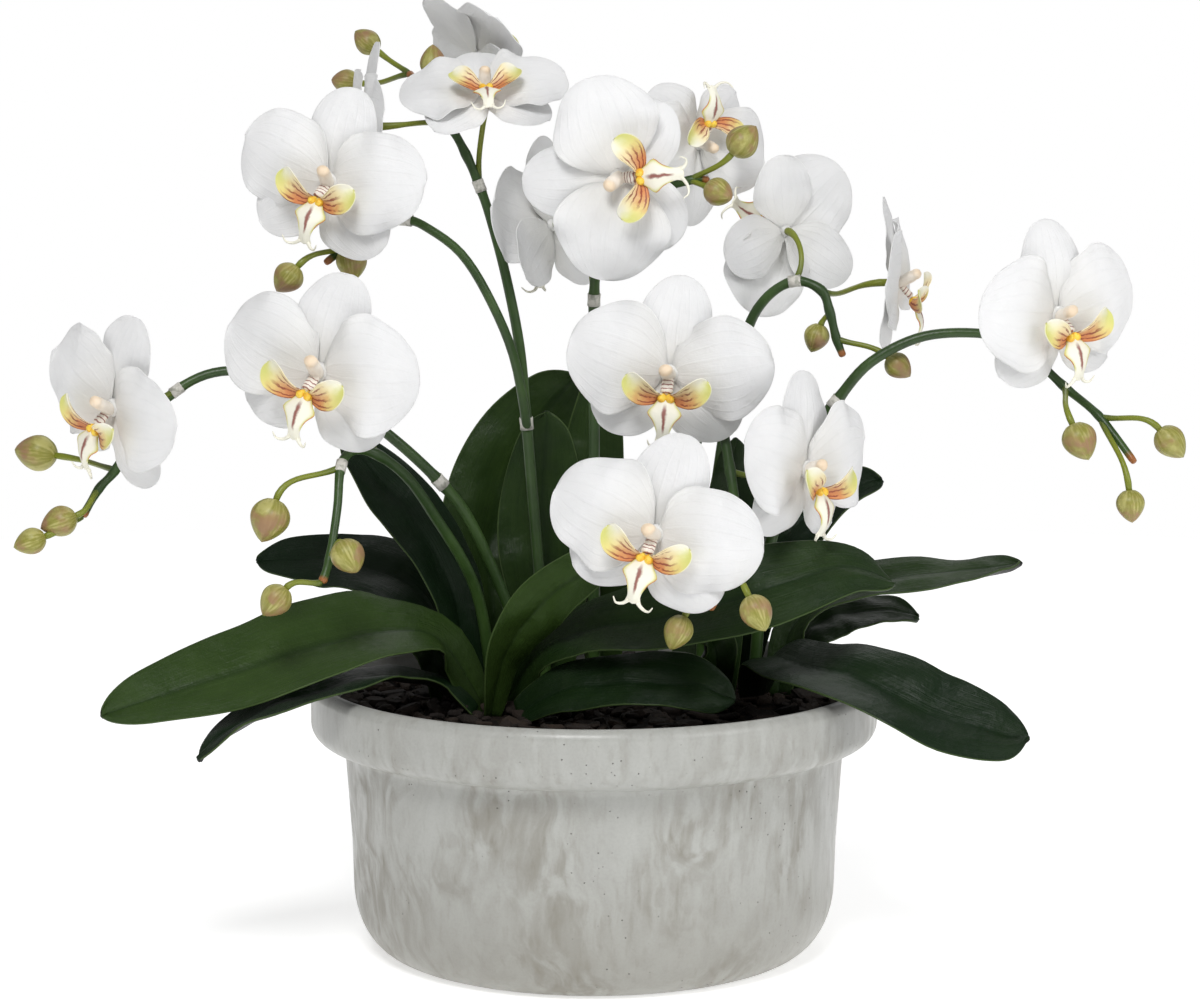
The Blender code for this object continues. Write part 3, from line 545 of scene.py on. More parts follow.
def add_sheet(shape, rows, half_thicknesses, **measures):
    """Adds a closed thin solid about a grid of points, with a rounded rim.

    Its measures are across, from -1 to 1, along, from 0 to 1, and upper, 1 above and 0 beneath.
    """
    last_row = len(rows) - 1
    last_column = len(rows[0]) - 1
    width = last_column + 1
    top = []
    bottom = []
    across = []
    along = []
    outward = {}
    for i, row in enumerate(rows):
        for j, point in enumerate(row):
            side = row[min(j + 1, last_column)] - row[max(j - 1, 0)]
            ahead = rows[min(i + 1, last_row)][j] - rows[max(i - 1, 0)][j]
            normal = side.cross(ahead).normalized()
            half = half_thicknesses[i][j]
            top.append(point + normal * half)
            bottom.append(point - normal * half)
            across.append(2.0 * j / last_column - 1.0)
            along.append(i / last_row)
            out = Vector((0.0, 0.0, 0.0))
            if j in (0, last_column):
                out += side.normalized() * (1.0 if j else -1.0)
            if i in (0, last_row):
                out += ahead.normalized() * (1.0 if i else -1.0)
            if out.length:
                outward[i * width + j] = point + out.normalized() * half
    around = list(range(width))
    around += [i * width + last_column for i in range(1, last_row + 1)]
    around += [last_row * width + j for j in reversed(range(last_column))]
    around += [i * width for i in reversed(range(1, last_row))]
    count = len(top)
    corners = top + bottom + [outward[corner] for corner in around]
    faces = []
    for i in range(last_row):
        for j in range(last_column):
            low = i * width + j
            faces.append([low, low + 1, low + width + 1, low + width])
            faces.append([count + low, count + low + width, count + low + width + 1, count + low + 1])
    for step, corner in enumerate(around):
        following = (step + 1) % len(around)
        after = around[following]
        rim = 2 * count + step
        rim_after = 2 * count + following
        faces.append([after, corner, rim, rim_after])
        faces.append([rim_after, rim, count + corner, count + after])
    for name, values in (("across", across), ("along", along)):
        measures[name] = values * 2 + [values[corner] for corner in around]
    measures["upper"] = [1.0] * count + [0.0] * count + [0.5] * len(around)
    shape.add(corners, faces, **measures)


def leaf_width(t):
    """Share of the greatest width from 0 at the base to 1 at the tip, closing to a rounded tip."""
    swell = math.sin(math.pi * (0.12 + 0.85 * t) ** 1.25) ** 0.7
    closing = math.sqrt(max(0.0, 1.0 - max(0.0, (t - LEAF_TIP_START) / (1.002 - LEAF_TIP_START)) ** 2))
    return max(LEAF_BASE_WIDTH * (1.0 - t), swell) * closing


def crowded(column, columns):
    """A place from -1 to 1 across a sheet, with the columns closer together near its edges."""
    return math.sin(0.5 * math.pi * (2.0 * column / columns - 1.0))


def leaf_rows(route, width, face_start, face_end, dice):
    last = len(route) - 1
    phase = dice.uniform(0.0, 6.0)
    rows = []
    halves = []
    for station in range(LEAF_STATIONS + 1):
        t = 1.0 - (1.0 - station / LEAF_STATIONS) ** 1.5
        middle = between(route, t * last)
        along = direction(route, t * last)
        face = Vector(face_start).lerp(Vector(face_end), t)
        normal = (face - along * face.dot(along)).normalized()
        side = along.cross(normal)
        half = 0.5 * width * leaf_width(t) * (1.0 + WIDTH_WAVE * math.sin(WIDTH_WAVE_RATE * t + phase))
        fold = LEAF_FOLD * half * (1.0 - 0.5 * t)
        row = []
        thickness = []
        for column in range(LEAF_COLUMNS + 1):
            u = crowded(column, LEAF_COLUMNS)
            rise = fold * (1.35 * abs(u) - 0.35 * abs(u) ** 3) * abs(u) / (abs(u) + 0.04)
            edge_phase = phase + (1.5 if u > 0.0 else 0.0)
            wave = EDGE_WAVE * u * u * math.sin(EDGE_WAVE_RATE * t + edge_phase)
            wave += BLADE_WAVE * min(1.0, 3.0 * t) * noise.noise(Vector((1.4 * u, 8.0 * t, phase)))
            row.append(middle + side * (half * u) + normal * (rise + wave))
            extra = (LEAF_THICKNESS - LEAF_EDGE_THICKNESS) * (1.0 - u * u)
            thickness.append(0.5 * (LEAF_EDGE_THICKNESS + extra))
        rows.append(row)
        halves.append(thickness)
    return rows, halves


def extent(points):
    """The lowest and highest corners of the box round some points."""
    return [Vector([pick(point[axis] for point in points) for axis in range(3)]) for pick in (min, max)]


def settle(piece, node):
    """Moves a finished mesh so that its box has the same centre as its CAD node's."""
    low, high = extent([corner.co for corner in piece.data.vertices])
    node_low, node_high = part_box(node)
    piece.data.transform(Matrix.Translation(0.5 * (node_low + node_high - low - high)))


leaf = Finish("leaf_wax", specular_ior_level=0.15)
leaf_across = leaf.measure("across")
leaf_along = leaf.measure("along")
leaf_upper = leaf.measure("upper").rising(0.3, 0.7)
leaf_tone = leaf.measure("tone")
leaf_grain = leaf.noise(leaf.vector(leaf_across * 40.0, leaf_along * 5.0, leaf_tone * 9.0), 1.0, 4.0)
leaf_fine_grain = leaf.noise(leaf.vector(leaf_across * 130.0, leaf_along * 14.0, 2.0), 1.0, 2.0)
leaf_mottle = leaf.noise(leaf.position(), 55.0, 5.0)
leaf_pores = leaf.noise(leaf.position(), 700.0, 2.0)
leaf_crinkle = leaf.noise(leaf.position(), 85.0, 4.0)
leaf_rib = abs(leaf_across).rising(0.10, 0.0)
leaf_edge = abs(leaf_across).rising(0.972, 0.998)
# The tone is partly painted shade: leaves that lie in shadow get a darker green.
leaf_light = leaf_tone * 0.75 + leaf_mottle * 0.35 + leaf_grain * 0.25 - 0.25
leaf_colour = leaf.mix(leaf_light.rising(0.0, 1.0), LEAF_DEEP, LEAF_MID)
# Painted shade: the green darkens along the midrib channel, in the fold's crease.
leaf_colour = leaf.mix(leaf_rib * 0.35, leaf_colour, LEAF_DEEP)
# Painted shade: the underside is painted almost black.
leaf_colour = leaf.mix(leaf_upper, LEAF_UNDERSIDE_SHADE, leaf_colour)
leaf_colour = leaf.mix(leaf_edge * 0.55, leaf_colour, LEAF_EDGE)
leaf.set(colour=leaf_colour, roughness=0.18 + leaf_mottle * 0.24 + leaf_grain * 0.08,
         relief=(leaf_crinkle * 1.5 + leaf_grain * 0.25 + leaf_fine_grain * 0.12 + leaf_pores * 0.08
                 - leaf_rib * 0.3),
         depth=0.9)

leaf_dice = random.Random(5)
leaf_designs = [(name, [on_bark(point) for point in points], width, start, end, tone)
                for name, points, width, start, end, tone in RISING_LEAVES]
leaf_designs += [(name, [on_bark(base)] + [near_rim(point) for point in points], width, start, end, tone)
                 for name, base, points, width, start, end, tone in DRAPED_LEAVES]
for name, route, width, face_start, face_end, tone in leaf_designs:
    leaf_shape = Shape("across", "along", "upper", "tone")
    rows, halves = leaf_rows(route, width, face_start, face_end, leaf_dice)
    add_sheet(leaf_shape, rows, halves, tone=tone)
    blade = leaf_shape.piece(name.replace("leaf", "blade"), leaf)
    settle(blade, name)
    install(blade, "leaf", name)

# ---------------------------------------------------------------- flower spikes
# Each spike is a firm green stem, thickened where a stalk leaves it and cut off brown at its end.
# Pale sleeves join its lengths, and yellow-green stalks lead to the flowers and buds.

STEM_BASE_RADIUS = 2.9
STEM_TIP_RADIUS = 1.7
STEM_STEP = 4.0
STEM_SIDES = 14
STALK_RADIUS = 1.25
STALK_SIDES = 10
STALK_STEPS = 12
STALK_STIFFNESS = 0.4
JOINT_SWELL = 0.22
JOINT_SPREAD = 3.5
SLEEVE_THICKNESS = 0.15
SLEEVE_LENGTH = 7.0
SLEEVE_SIDES = 20
FORK_SLEEVE_JOINT = 5
HUB_BACK = 4.0
CUT_END_LENGTH = 3.0
BUD_SIDES = 28
BUD_RINGS = 18
BUD_GROOVES = 3
BUD_GROOVE_DEPTH = 0.07

STEM_GREEN = (0.018, 0.045, 0.008)
STEM_LIGHT = (0.045, 0.095, 0.018)
STALK_GREEN = (0.19, 0.22, 0.018)
CUT_BROWN = (0.30, 0.11, 0.03)
SLEEVE_WHITE = (0.62, 0.60, 0.55)
SLEEVE_GREY = (0.36, 0.36, 0.31)
BUD_GREEN = (0.24, 0.23, 0.04)
BUD_LIGHT = (0.42, 0.39, 0.13)
BUD_PINK = (0.30, 0.16, 0.09)

# Each row: name, sleeved joints, and one or two routes of joints from the bark to the tip. A
# second route starts at a joint of the first, whose number is given before it.
SPIKES = [
    ("spike_left_front", [8],
     [(-47, 6, 0), (-49, 3, 26), (-53, -2, 50), (-60, -10, 69), (-71, -20, 89), (-83, -32, 109),
      (-96, -42, 121), (-106, -50, 124), (-111, -61, 118), (-112, -71, 101), (-115, -79, 80),
      (-118, -83, 70)],
     None, []),
    ("spike_left_long", [4, 9],
     [(-34, 10, 0), (-35, 9, 28), (-43, 8, 53), (-57, 0, 86), (-70, -5, 104), (-91, -12, 125),
      (-115, -15, 143), (-141, -17, 154), (-168, -20, 156), (-187, -24, 148), (-202, -28, 132),
      (-214, -32, 113), (-221, -36, 105), (-228, -40, 93)],
     None, []),
    ("spike_left_forked", [4, 8],
     [(-23, 22, 0), (-23, 22, 26), (-26, 20, 64), (-29, 16, 103), (-31, 13, 129), (-34, 11, 164),
      (-40, 10, 196), (-47, 9, 223), (-52, 8, 238), (-58, 9, 252), (-65, 15, 264), (-76, 32, 276),
      (-86, 58, 288)],
     4,
     [(-30, 14, 122), (-36, 2, 159), (-47, -3, 187), (-60, -4, 208), (-76, -3, 220), (-85, 0, 223),
      (-95, 3, 222), (-103, 1, 217), (-112, -5, 211), (-121, -10, 204)]),
    ("spike_centre", [4],
     [(0, 26, 0), (0, 25, 63), (0, 22, 106), (0, 17, 153), (0, 12, 186), (2, 8, 204), (10, 4, 221),
      (25, 0, 234), (43, -4, 241), (52, -4, 241)],
     None, []),
    ("spike_right_short", [6],
     [(50, 30, 0), (52, 30, 53), (56, 29, 91), (62, 27, 133), (70, 24, 169), (79, 20, 186), (92, 18, 194),
      (104, 16, 190), (108, 14, 180), (111, 12, 168), (114, 10, 160)],
     None, []),
    ("spike_right_long", [4],
     [(74, 20, 0), (79, 17, 60), (90, 8, 104), (100, 3, 126), (110, 0, 140), (125, -2, 158), (148, -3, 170),
      (173, -4, 172), (188, -5, 168), (199, -6, 161), (213, -9, 148), (227, -24, 136), (241, -38, 117)],
     None, []),
    ("spike_front", [],
     [(24, 8, 0), (30, 4, 48), (40, -4, 96), (48, -16, 130), (53, -30, 141), (57, -44, 133), (60, -58, 116),
      (62, -74, 98), (60, -88, 82), (55, -96, 70), (50, -101, 61)],
     None, []),
]

# Each row: spike, route and joint a flower grows from, heading (0 faces the front, positive turns
# to +X), pitch upwards, and roll clockwise as seen by whoever faces it.
FLOWERS = [
    ("spike_left_long", 0, 9, -46, -5, 22),
    ("spike_left_front", 0, 6, -22, 0, 15),
    ("spike_left_forked", 1, 5, -18, 5, 15),
    ("spike_left_forked", 0, 10, -80, 0, 5),
    ("spike_left_forked", 0, 8, 0, 55, -6),
    ("spike_left_forked", 0, 9, 125, 35, 20),
    ("spike_centre", 0, 6, 0, 0, -95),
    ("spike_centre", 0, 4, -125, -10, 0),
    ("spike_centre", 0, 6, 40, 0, 180),
    ("spike_right_short", 0, 6, -155, 0, -122),
    ("spike_right_short", 0, 7, 80, 0, -10),
    ("spike_right_long", 0, 8, 33, 0, -8),
    ("spike_front", 0, 3, -5, -5, 5),
    ("spike_front", 0, 7, -12, 0, 15),
    ("spike_front", 0, 6, 52, 0, 5),
]

# Each row: spike, route and joint, centre, the way the tip points, length and width.
BUDS = [
    ("spike_left_long", 0, 11, (-256, 8, 116), (-1.0, 0.3, 0.1), 21, 17),
    ("spike_left_long", 0, 12, (-237, -50, 92), (-0.9, -0.3, -0.3), 17, 14),
    ("spike_left_long", 0, 13, (-249, -56, 84), (-0.9, -0.2, -0.3), 15, 12),
    ("spike_left_front", 0, 8, (-141, -80, 97), (-0.3, -0.2, -0.9), 20, 18),
    ("spike_left_front", 0, 10, (-106, -88, 82), (0.4, -0.5, -0.6), 17, 15),
    ("spike_left_front", 0, 11, (-138, -90, 63), (-0.6, -0.1, -0.7), 16, 14),
    ("spike_left_forked", 1, 8, (-137, -22, 198), (-0.6, -0.1, -0.7), 15, 14),
    ("spike_left_forked", 1, 8, (-109, -10, 204), (0.1, -0.2, -0.9), 16, 14),
    ("spike_centre", 0, 8, (67, -12, 259), (0.6, -0.1, 0.7), 17, 15),
    ("spike_centre", 0, 8, (56, -15, 236), (0.7, -0.6, -0.3), 15, 13),
    ("spike_right_short", 0, 8, (102, 17, 168), (-0.3, 0.1, -0.9), 14, 12),
    ("spike_right_short", 0, 9, (139, 5, 156), (0.7, -0.1, -0.6), 14, 12),
    ("spike_right_long", 0, 10, (216, -42, 127), (0.4, -0.3, -0.9), 18, 16),
    ("spike_right_long", 0, 11, (238, -48, 99), (0.1, -0.1, -1.0), 15, 13),
    ("spike_right_long", 0, 11, (257, -38, 126), (0.6, -0.1, -0.7), 17, 14),
    ("spike_front", 0, 9, (36, -106, 52), (-0.4, -0.2, -0.9), 16, 13),
    ("spike_front", 0, 8, (69, -128, 64), (0.4, -0.4, -0.8), 17, 14),
    ("spike_left_forked", 0, 12, (-107, 74, 303), (-0.7, 0.3, 0.6), 15, 12),
    ("spike_left_forked", 0, 12, (-118, 84, 284), (-0.9, 0.3, 0.1), 14, 12),
    ("spike_left_forked", 0, 11, (-74, 34, 294), (0.0, 0.0, 1.0), 15, 12),
]


def add_rod(shape, points, radii, sides, **measures):
    """Adds a round rod along points, with domed ends."""
    dome = ((0.0, 0.55), (0.25, 0.85))
    first_way = (points[1] - points[0]).normalized()
    last_way = (points[-1] - points[-2]).normalized()
    rings = [(points[0] + first_way * (sink * radii[0]), radii[0] * share) for sink, share in dome]
    rings += zip(points[1:-1], radii[1:-1])
    rings += [(points[-1] - last_way * (sink * radii[-1]), radii[-1] * share)
              for sink, share in reversed(dome)]
    normal = first_way.orthogonal().normalized()
    corners = []
    for index, (centre, radius) in enumerate(rings):
        before = rings[max(index - 1, 0)][0]
        after = rings[min(index + 1, len(rings) - 1)][0]
        way = (after - before).normalized()
        normal = (normal - way * normal.dot(way)).normalized()
        other = way.cross(normal)
        corners += [centre + normal * spot.x + other * spot.y for spot in circle(radius, 0.0, sides)]
    last = len(corners) - sides
    faces = [list(reversed(range(sides))), list(range(last, len(corners)))]
    for low in range(0, last, sides):
        faces += band(low, low + sides, sides, inward=True)
    given = {}
    for name, values in measures.items():
        if isinstance(values, list):
            kept = [values[0], values[0]] + values[1:-1] + [values[-1], values[-1]]
            given[name] = [value for value in kept for _ in range(sides)]
        else:
            given[name] = values
    shape.add(corners, faces, **given)


def stem_radius(route, joint):
    share = joint / (len(route) - 1)
    return STEM_BASE_RADIUS + (STEM_TIP_RADIUS - STEM_BASE_RADIUS) * share


def add_stem(shape, route, base_radius, swollen):
    """Adds a stem that tapers from base_radius and swells where stalks leave it."""
    last = len(route) - 1
    length = sum((after - before).length for before, after in zip(route, route[1:]))
    count = round(length / STEM_STEP)
    points = [between(route, last * step / count) for step in range(count + 1)]
    radii = []
    cut = []
    for step, point in enumerate(points):
        radius = base_radius + (STEM_TIP_RADIUS - base_radius) * step / count
        nearest = min([(point - route[joint]).length for joint in swollen] + [1000.0])
        radii.append(radius * (1.0 + JOINT_SWELL * math.exp(-(nearest / JOINT_SPREAD) ** 2)))
        cut.append(1.0 if (points[-1] - point).length < CUT_END_LENGTH else 0.0)
    add_rod(shape, points, radii, STEM_SIDES, cut=cut)


def bent(start, leave, end, arrive):
    """Points of a cubic curve that leaves start one way and arrives at end another way."""
    reach = STALK_STIFFNESS * (end - start).length
    first = start + leave.normalized() * reach
    second = end - arrive.normalized() * reach
    points = []
    for step in range(STALK_STEPS + 1):
        t = step / STALK_STEPS
        s = 1.0 - t
        points.append(start * s ** 3 + first * (3 * s * s * t) + second * (3 * s * t * t) + end * t ** 3)
    return points


def add_stalk(shape, points, flare):
    """Adds a stalk whose green turns yellow away from the stem, and whose end widens by flare."""
    shares = [step / STALK_STEPS for step in range(STALK_STEPS + 1)]
    radii = [STALK_RADIUS * (1.25 - 0.25 * min(1.0, 4.0 * share) + flare * max(0.0, 3.0 * share - 2.0))
             for share in shares]
    young = [min(1.0, 0.25 + 2.0 * share) for share in shares]
    add_rod(shape, points, radii, STALK_SIDES, young=young)


def add_bud(shape, centre, tip, length, width):
    """Adds a plump bud with three lengthwise grooves, a blunt base and a pointed tip."""
    facing = tip.to_track_quat("Z", "Y").to_matrix()
    corners = []
    along = []
    around = []
    for ring in range(1, BUD_RINGS):
        t = ring / BUD_RINGS
        swell = math.sin(math.pi * t ** 0.87) ** 0.66 * (1.0 - 0.16 * t)
        for side in range(BUD_SIDES):
            angle = 2.0 * math.pi * side / BUD_SIDES
            from_groove = math.sin(0.5 * BUD_GROOVES * angle)
            groove = BUD_GROOVE_DEPTH * math.exp(-(from_groove / 0.14) ** 2) * math.sin(math.pi * t)
            radius = 0.53 * width * swell * (1.0 - groove)
            bulge = 1.0 + 0.035 * math.cos(2.0 * angle)
            spot = Vector((radius * bulge * math.cos(angle), radius * math.sin(angle), length * (t - 0.5)))
            corners.append(centre + facing @ spot)
            along.append(t)
            around.append(from_groove)
    base = len(corners)
    top = base - BUD_SIDES
    corners += [centre - tip * (0.49 * length), centre + tip * (0.51 * length)]
    faces = fan(base, 0, BUD_SIDES, inward=True) + fan(base + 1, top, BUD_SIDES)
    for low in range(0, top, BUD_SIDES):
        faces += band(low, low + BUD_SIDES, BUD_SIDES, inward=True)
    shape.add(corners, faces, along=along + [0.0, 1.0], groove=around + [1.0, 1.0])


def flower_turn(heading, pitch, roll):
    """The rotation from a flower's own frame: +Z out of its face, +Y up its back sepal."""
    turned = Matrix.Rotation(math.radians(heading), 3, "Z")
    raised = Matrix.Rotation(math.radians(90.0 - pitch), 3, "X")
    return turned @ raised @ Matrix.Rotation(math.radians(-roll), 3, "Z")


# A flower's CAD solid at size 1, seen in its own frame with the hub at the origin.
SOLID_WIDTH = 90.36
SOLID_TOP = 43.13
SOLID_BACK = 5.385


def flower_place(number, heading, pitch, roll):
    """A flower's hub in mm, its rotation and its size, from where its CAD solid is."""
    rotation = flower_turn(heading, pitch, roll)
    inverse = rotation.transposed()
    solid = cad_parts[f"flower_{number:02d}_petals"].data
    low, high = [corner / MM for corner in extent([inverse @ corner.co for corner in solid.vertices])]
    size = (high.x - low.x) / SOLID_WIDTH
    hub = Vector((0.5 * (low.x + high.x), high.y - SOLID_TOP * size, low.z + SOLID_BACK * size))
    return rotation @ hub, rotation, size


def flower_matrix(hub, rotation, size):
    """Places a piece drawn in the flower's own frame, in metres."""
    return Matrix.Translation(hub * MM) @ rotation.to_4x4() @ Matrix.Scale(size, 4)


flower_places = [flower_place(number, *row[3:]) for number, row in enumerate(FLOWERS, 1)]

stem = Finish("stem_skin", specular_ior_level=0.45)
stem_young = stem.measure("young")
stem_streak = stem.noise(stem.position((1.0, 1.0, 0.25)), 380.0, 3.0)
stem_cloud = stem.noise(stem.position(), 45.0, 3.0)
stem_colour = stem.mix(stem_cloud.rising(0.35, 0.7) * 0.7 + stem_streak * 0.25, STEM_GREEN, STEM_LIGHT)
stem_colour = stem.mix(stem_young * (0.8 + stem_cloud * 0.3), stem_colour, STALK_GREEN)
stem_colour = stem.mix(stem.measure("cut"), stem_colour, CUT_BROWN)
stem.set(colour=stem_colour, roughness=0.32 + stem_streak * 0.15, relief=stem_streak, depth=0.25)

sleeve = Finish("stem_sleeve", specular_ior_level=0.4)
sleeve_wear = sleeve.noise(sleeve.position(), 420.0, 4.0)
sleeve.set(colour=sleeve.mix(sleeve_wear.rising(0.45, 0.68), SLEEVE_WHITE, SLEEVE_GREY),
           roughness=0.35 + sleeve_wear * 0.25, relief=sleeve_wear, depth=0.5)

budskin = Finish("bud_skin", specular_ior_level=0.4)
bud_along = budskin.measure("along")
bud_groove = abs(budskin.measure("groove"))
bud_blush = budskin.noise(budskin.position(), 110.0, 4.0)
bud_streak = budskin.noise(budskin.vector(bud_groove * 1.6, bud_along * 0.8, bud_blush * 1.5), 2.4, 3.0)
bud_colour = budskin.mix(bud_streak.rising(0.35, 0.65), BUD_GREEN, BUD_LIGHT)
bud_pinkness = bud_blush.rising(0.42, 0.62) * bud_along.rising(0.0, 0.6) * 0.85
bud_colour = budskin.mix(bud_pinkness, bud_colour, BUD_PINK)
bud_colour = budskin.mix(bud_groove.rising(0.14, 0.0) * 0.5, bud_colour, BUD_GREEN)
budskin.set(colour=bud_colour, roughness=0.34 + bud_streak * 0.16, relief=bud_streak, depth=0.3)

for name, sleeves, joints, fork, second_joints in SPIKES:
    stems_shape = Shape("young", "cut")
    sleeves_shape = Shape()
    buds_shape = Shape("along", "groove")
    routes = [[on_bark(point) for point in joints]]
    stalks = [(route, joint) for spike, route, joint, *_ in FLOWERS + BUDS if spike == name]
    add_stem(stems_shape, routes[0], STEM_BASE_RADIUS,
             [joint for route, joint in stalks if route == 0] + sleeves)
    places = [(routes[0], joint) for joint in sleeves]
    if fork is not None:
        routes.append([on_bark(point) for point in second_joints])
        add_stem(stems_shape, routes[1], stem_radius(routes[0], fork) - 0.2,
                 [joint for route, joint in stalks if route == 1])
        places.append((routes[1], FORK_SLEEVE_JOINT))
    for route, joint in places:
        middle = between(route, joint)
        half = direction(route, joint, 0.1) * (0.5 * SLEEVE_LENGTH)
        radius = stem_radius(route, joint) * (1.0 + JOINT_SWELL) + SLEEVE_THICKNESS
        points = [middle - half, middle - half * 0.8, middle, middle + half * 0.8, middle + half]
        add_rod(sleeves_shape, points, [radius, radius, radius * 0.97, radius, radius], SLEEVE_SIDES)
    for (spike, route, joint, *_), (hub, rotation, size) in zip(FLOWERS, flower_places):
        if spike == name:
            facing = rotation @ Vector((0.0, 0.0, 1.0))
            start = routes[route][joint]
            end = hub - facing * (HUB_BACK * size - 1.0)
            way = (between(routes[route], joint + 0.4) - between(routes[route], joint - 0.4)).normalized()
            leave = (end - start).normalized() - facing * 0.5 + way * 0.5
            add_stalk(stems_shape, bent(start, leave, end, facing), 0.7)
    for spike, route, joint, centre, tip, length, width in BUDS:
        if spike == name:
            tip = Vector(tip).normalized()
            start = routes[route][joint]
            end = on_bark(centre) - tip * (0.44 * length)
            add_stalk(stems_shape, bent(start, end - start, end, tip), 0.35)
            add_bud(buds_shape, on_bark(centre), tip, length, width)
    install(stems_shape.piece(name.replace("spike", "stems"), stem), "stem", name)
    if places:
        install(sleeves_shape.piece(name.replace("spike", "sleeves"), sleeve), "stem", name)
    if buds_shape.corners:
        install(buds_shape.piece(name.replace("spike", "buds"), budskin), "stem", name)

# ---------------------------------------------------------------- sepals and petals
# A flower has three sepals behind and two broad petals in front, all thin, white and satiny. They
# arch, ruffle at the edge, and show faint veins that fan out from a narrow claw. Their side edges
# are painted lighter, as painted highlight.

TEPAL_STATIONS = 26
TEPAL_COLUMNS = 20
TEPAL_THICKNESS = 1.1
TEPAL_EDGE_THICKNESS = 0.35
TIP_POWER = 0.42
CLAW_START = 2.0
CLAW_WIDTH = 7.0
HUB_RADIUS = 4.2
HUB_FRONT = 2.2
HUB_SIDES = 24
SEPAL_WIDTH = 33.0
SEPAL_LEVEL = -1.8
SEPAL_RUFFLE = 1.2
DORSAL_SEPAL_LENGTH = 43.0
LATERAL_SEPAL_LENGTH = 39.0
LATERAL_SEPAL_ANGLE = 128.0
PETAL_LENGTH = 46.0
PETAL_WIDTH = 50.0
PETAL_LEVEL = 0.2
PETAL_ANGLE = 78.0
SLOW_RUFFLE_RATE = 7.0
FAST_RUFFLE_RATE = 17.0
FAST_RUFFLE_SHARE = 0.45
MIDRIB_DEPTH = 0.5
MIDRIB_WIDTH = 0.07

PETAL_WHITE = (0.80, 0.80, 0.805)
PETAL_SHADE = (0.70, 0.705, 0.71)
PETAL_THROAT = (0.76, 0.75, 0.71)
PETAL_RIM_HIGHLIGHT = (0.90, 0.90, 0.89)


def tepal_outline(t, peak, base_power):
    """Share of the greatest width from the claw at 0 to the rounded tip at 1."""
    angle = math.pi * min(1.0, t ** peak)
    return math.sin(angle) ** (base_power if angle < 0.5 * math.pi else TIP_POWER)


def add_tepal(shape, angle, length, width, level, bow, droop, peak, base_power, ruffle, dice):
    """Adds one sepal or petal that points at an angle from +Y in its flower's frame.

    Level is how far forward it starts, bow how far its middle stands out, and droop how far its tip
    bends back. Peak and base_power shape its outline, and ruffle is how far its edge waves.
    """
    spin = Matrix.Rotation(math.radians(angle), 3, "Z")
    phases = [dice.uniform(0.0, 6.28) for _ in range(4)]
    twist = dice.uniform(-1.0, 1.0) * ruffle
    rows = []
    halves = []
    for station in range(TEPAL_STATIONS + 1):
        s = 0.97 * station / TEPAL_STATIONS
        t = 1.0 - (1.0 - s) ** 2
        reach = CLAW_START + (length - CLAW_START) * t
        half = 0.5 * max(CLAW_WIDTH * (1.0 - t) ** 2, width * tepal_outline(t, peak, base_power))
        row = []
        thickness = []
        for column in range(TEPAL_COLUMNS + 1):
            u = crowded(column, TEPAL_COLUMNS)
            edge = abs(u) ** 2.5 * math.sin(math.pi * min(1.0, 0.1 + t))
            side = 0 if u < 0.0 else 1
            wave = math.sin(SLOW_RUFFLE_RATE * t + phases[side])
            wave += FAST_RUFFLE_SHARE * math.sin(FAST_RUFFLE_RATE * t + phases[side + 2])
            rise = level + bow * math.sin(math.pi * t) * (1.0 - 0.5 * u * u) - droop * t * t
            rise += ruffle * edge * wave + twist * u * t
            rise -= MIDRIB_DEPTH * math.exp(-(u / MIDRIB_WIDTH) ** 2) * (1.0 - t)
            rise += 0.35 * ruffle * math.sin(3.5 * u + phases[2]) * math.sin(math.pi * t)
            notch = 1.0 + 0.03 * ruffle * math.sin(6.0 * t + phases[side]) * u * u * math.sin(math.pi * t)
            row.append(spin @ Vector((half * u * notch, reach * (1.0 - 0.06 * u * u * (1.0 - t)), rise)))
            extra = (TEPAL_THICKNESS - TEPAL_EDGE_THICKNESS) * (1.0 - u * u) * (1.0 - t * t)
            thickness.append(0.5 * (TEPAL_EDGE_THICKNESS + extra))
        rows.append(row)
        halves.append(thickness)
    add_sheet(shape, rows, halves)


petal = Finish("petal_satin", specular_ior_level=0.35, subsurface_weight=0.35, subsurface_scale=0.003,
               subsurface_radius=(1.0, 1.0, 0.95))
petal_across = petal.measure("across")
petal_along = petal.measure("along")
petal_cloud = petal.noise(petal.position(), 45.0, 3.0)
petal_bend = petal_across + (petal_cloud - 0.5) * 0.12
petal_veins = (petal_bend * 34.0).sine().rising(0.72, 1.0) * petal_along.rising(0.95, 0.4)
petal_fine = petal.noise(petal.vector(petal_across * 60.0, petal_along * 7.0, 0.0), 1.0, 3.0)
petal_pebble = petal.noise(petal.position(), 320.0, 3.0)
petal_grain = petal.noise(petal.position(), 1400.0, 2.0)
petal_colour = petal.mix(petal_cloud.rising(0.3, 0.75) * 0.5, PETAL_WHITE, PETAL_SHADE)
petal_colour = petal.mix(petal_veins * 0.12 + petal_fine.rising(0.5, 0.8) * 0.18, petal_colour, PETAL_SHADE)
petal_colour = petal.mix(petal_along.rising(0.4, 0.0) * 0.6, petal_colour, PETAL_THROAT)
# Painted highlight: the side edges of each sepal and petal are painted lighter, as bright rim lines.
petal_colour = petal.mix(abs(petal_across).rising(0.93, 1.0) * 0.8, petal_colour, PETAL_RIM_HIGHLIGHT)
petal.set(colour=petal_colour, roughness=0.42 + petal_fine * 0.16,
          relief=(petal_cloud * 2.2 + petal_pebble * 0.35 + petal_fine * 0.2 + petal_veins * 0.12
                  + petal_grain * 0.06),
          depth=0.6)

hub_profile = [(0.0, HUB_FRONT), (0.9 * HUB_RADIUS, 0.7 * HUB_FRONT), (HUB_RADIUS, 0.0),
               (0.75 * HUB_RADIUS, -0.6 * HUB_BACK), (0.5 * HUB_RADIUS, -HUB_BACK), (0.0, -HUB_BACK)]

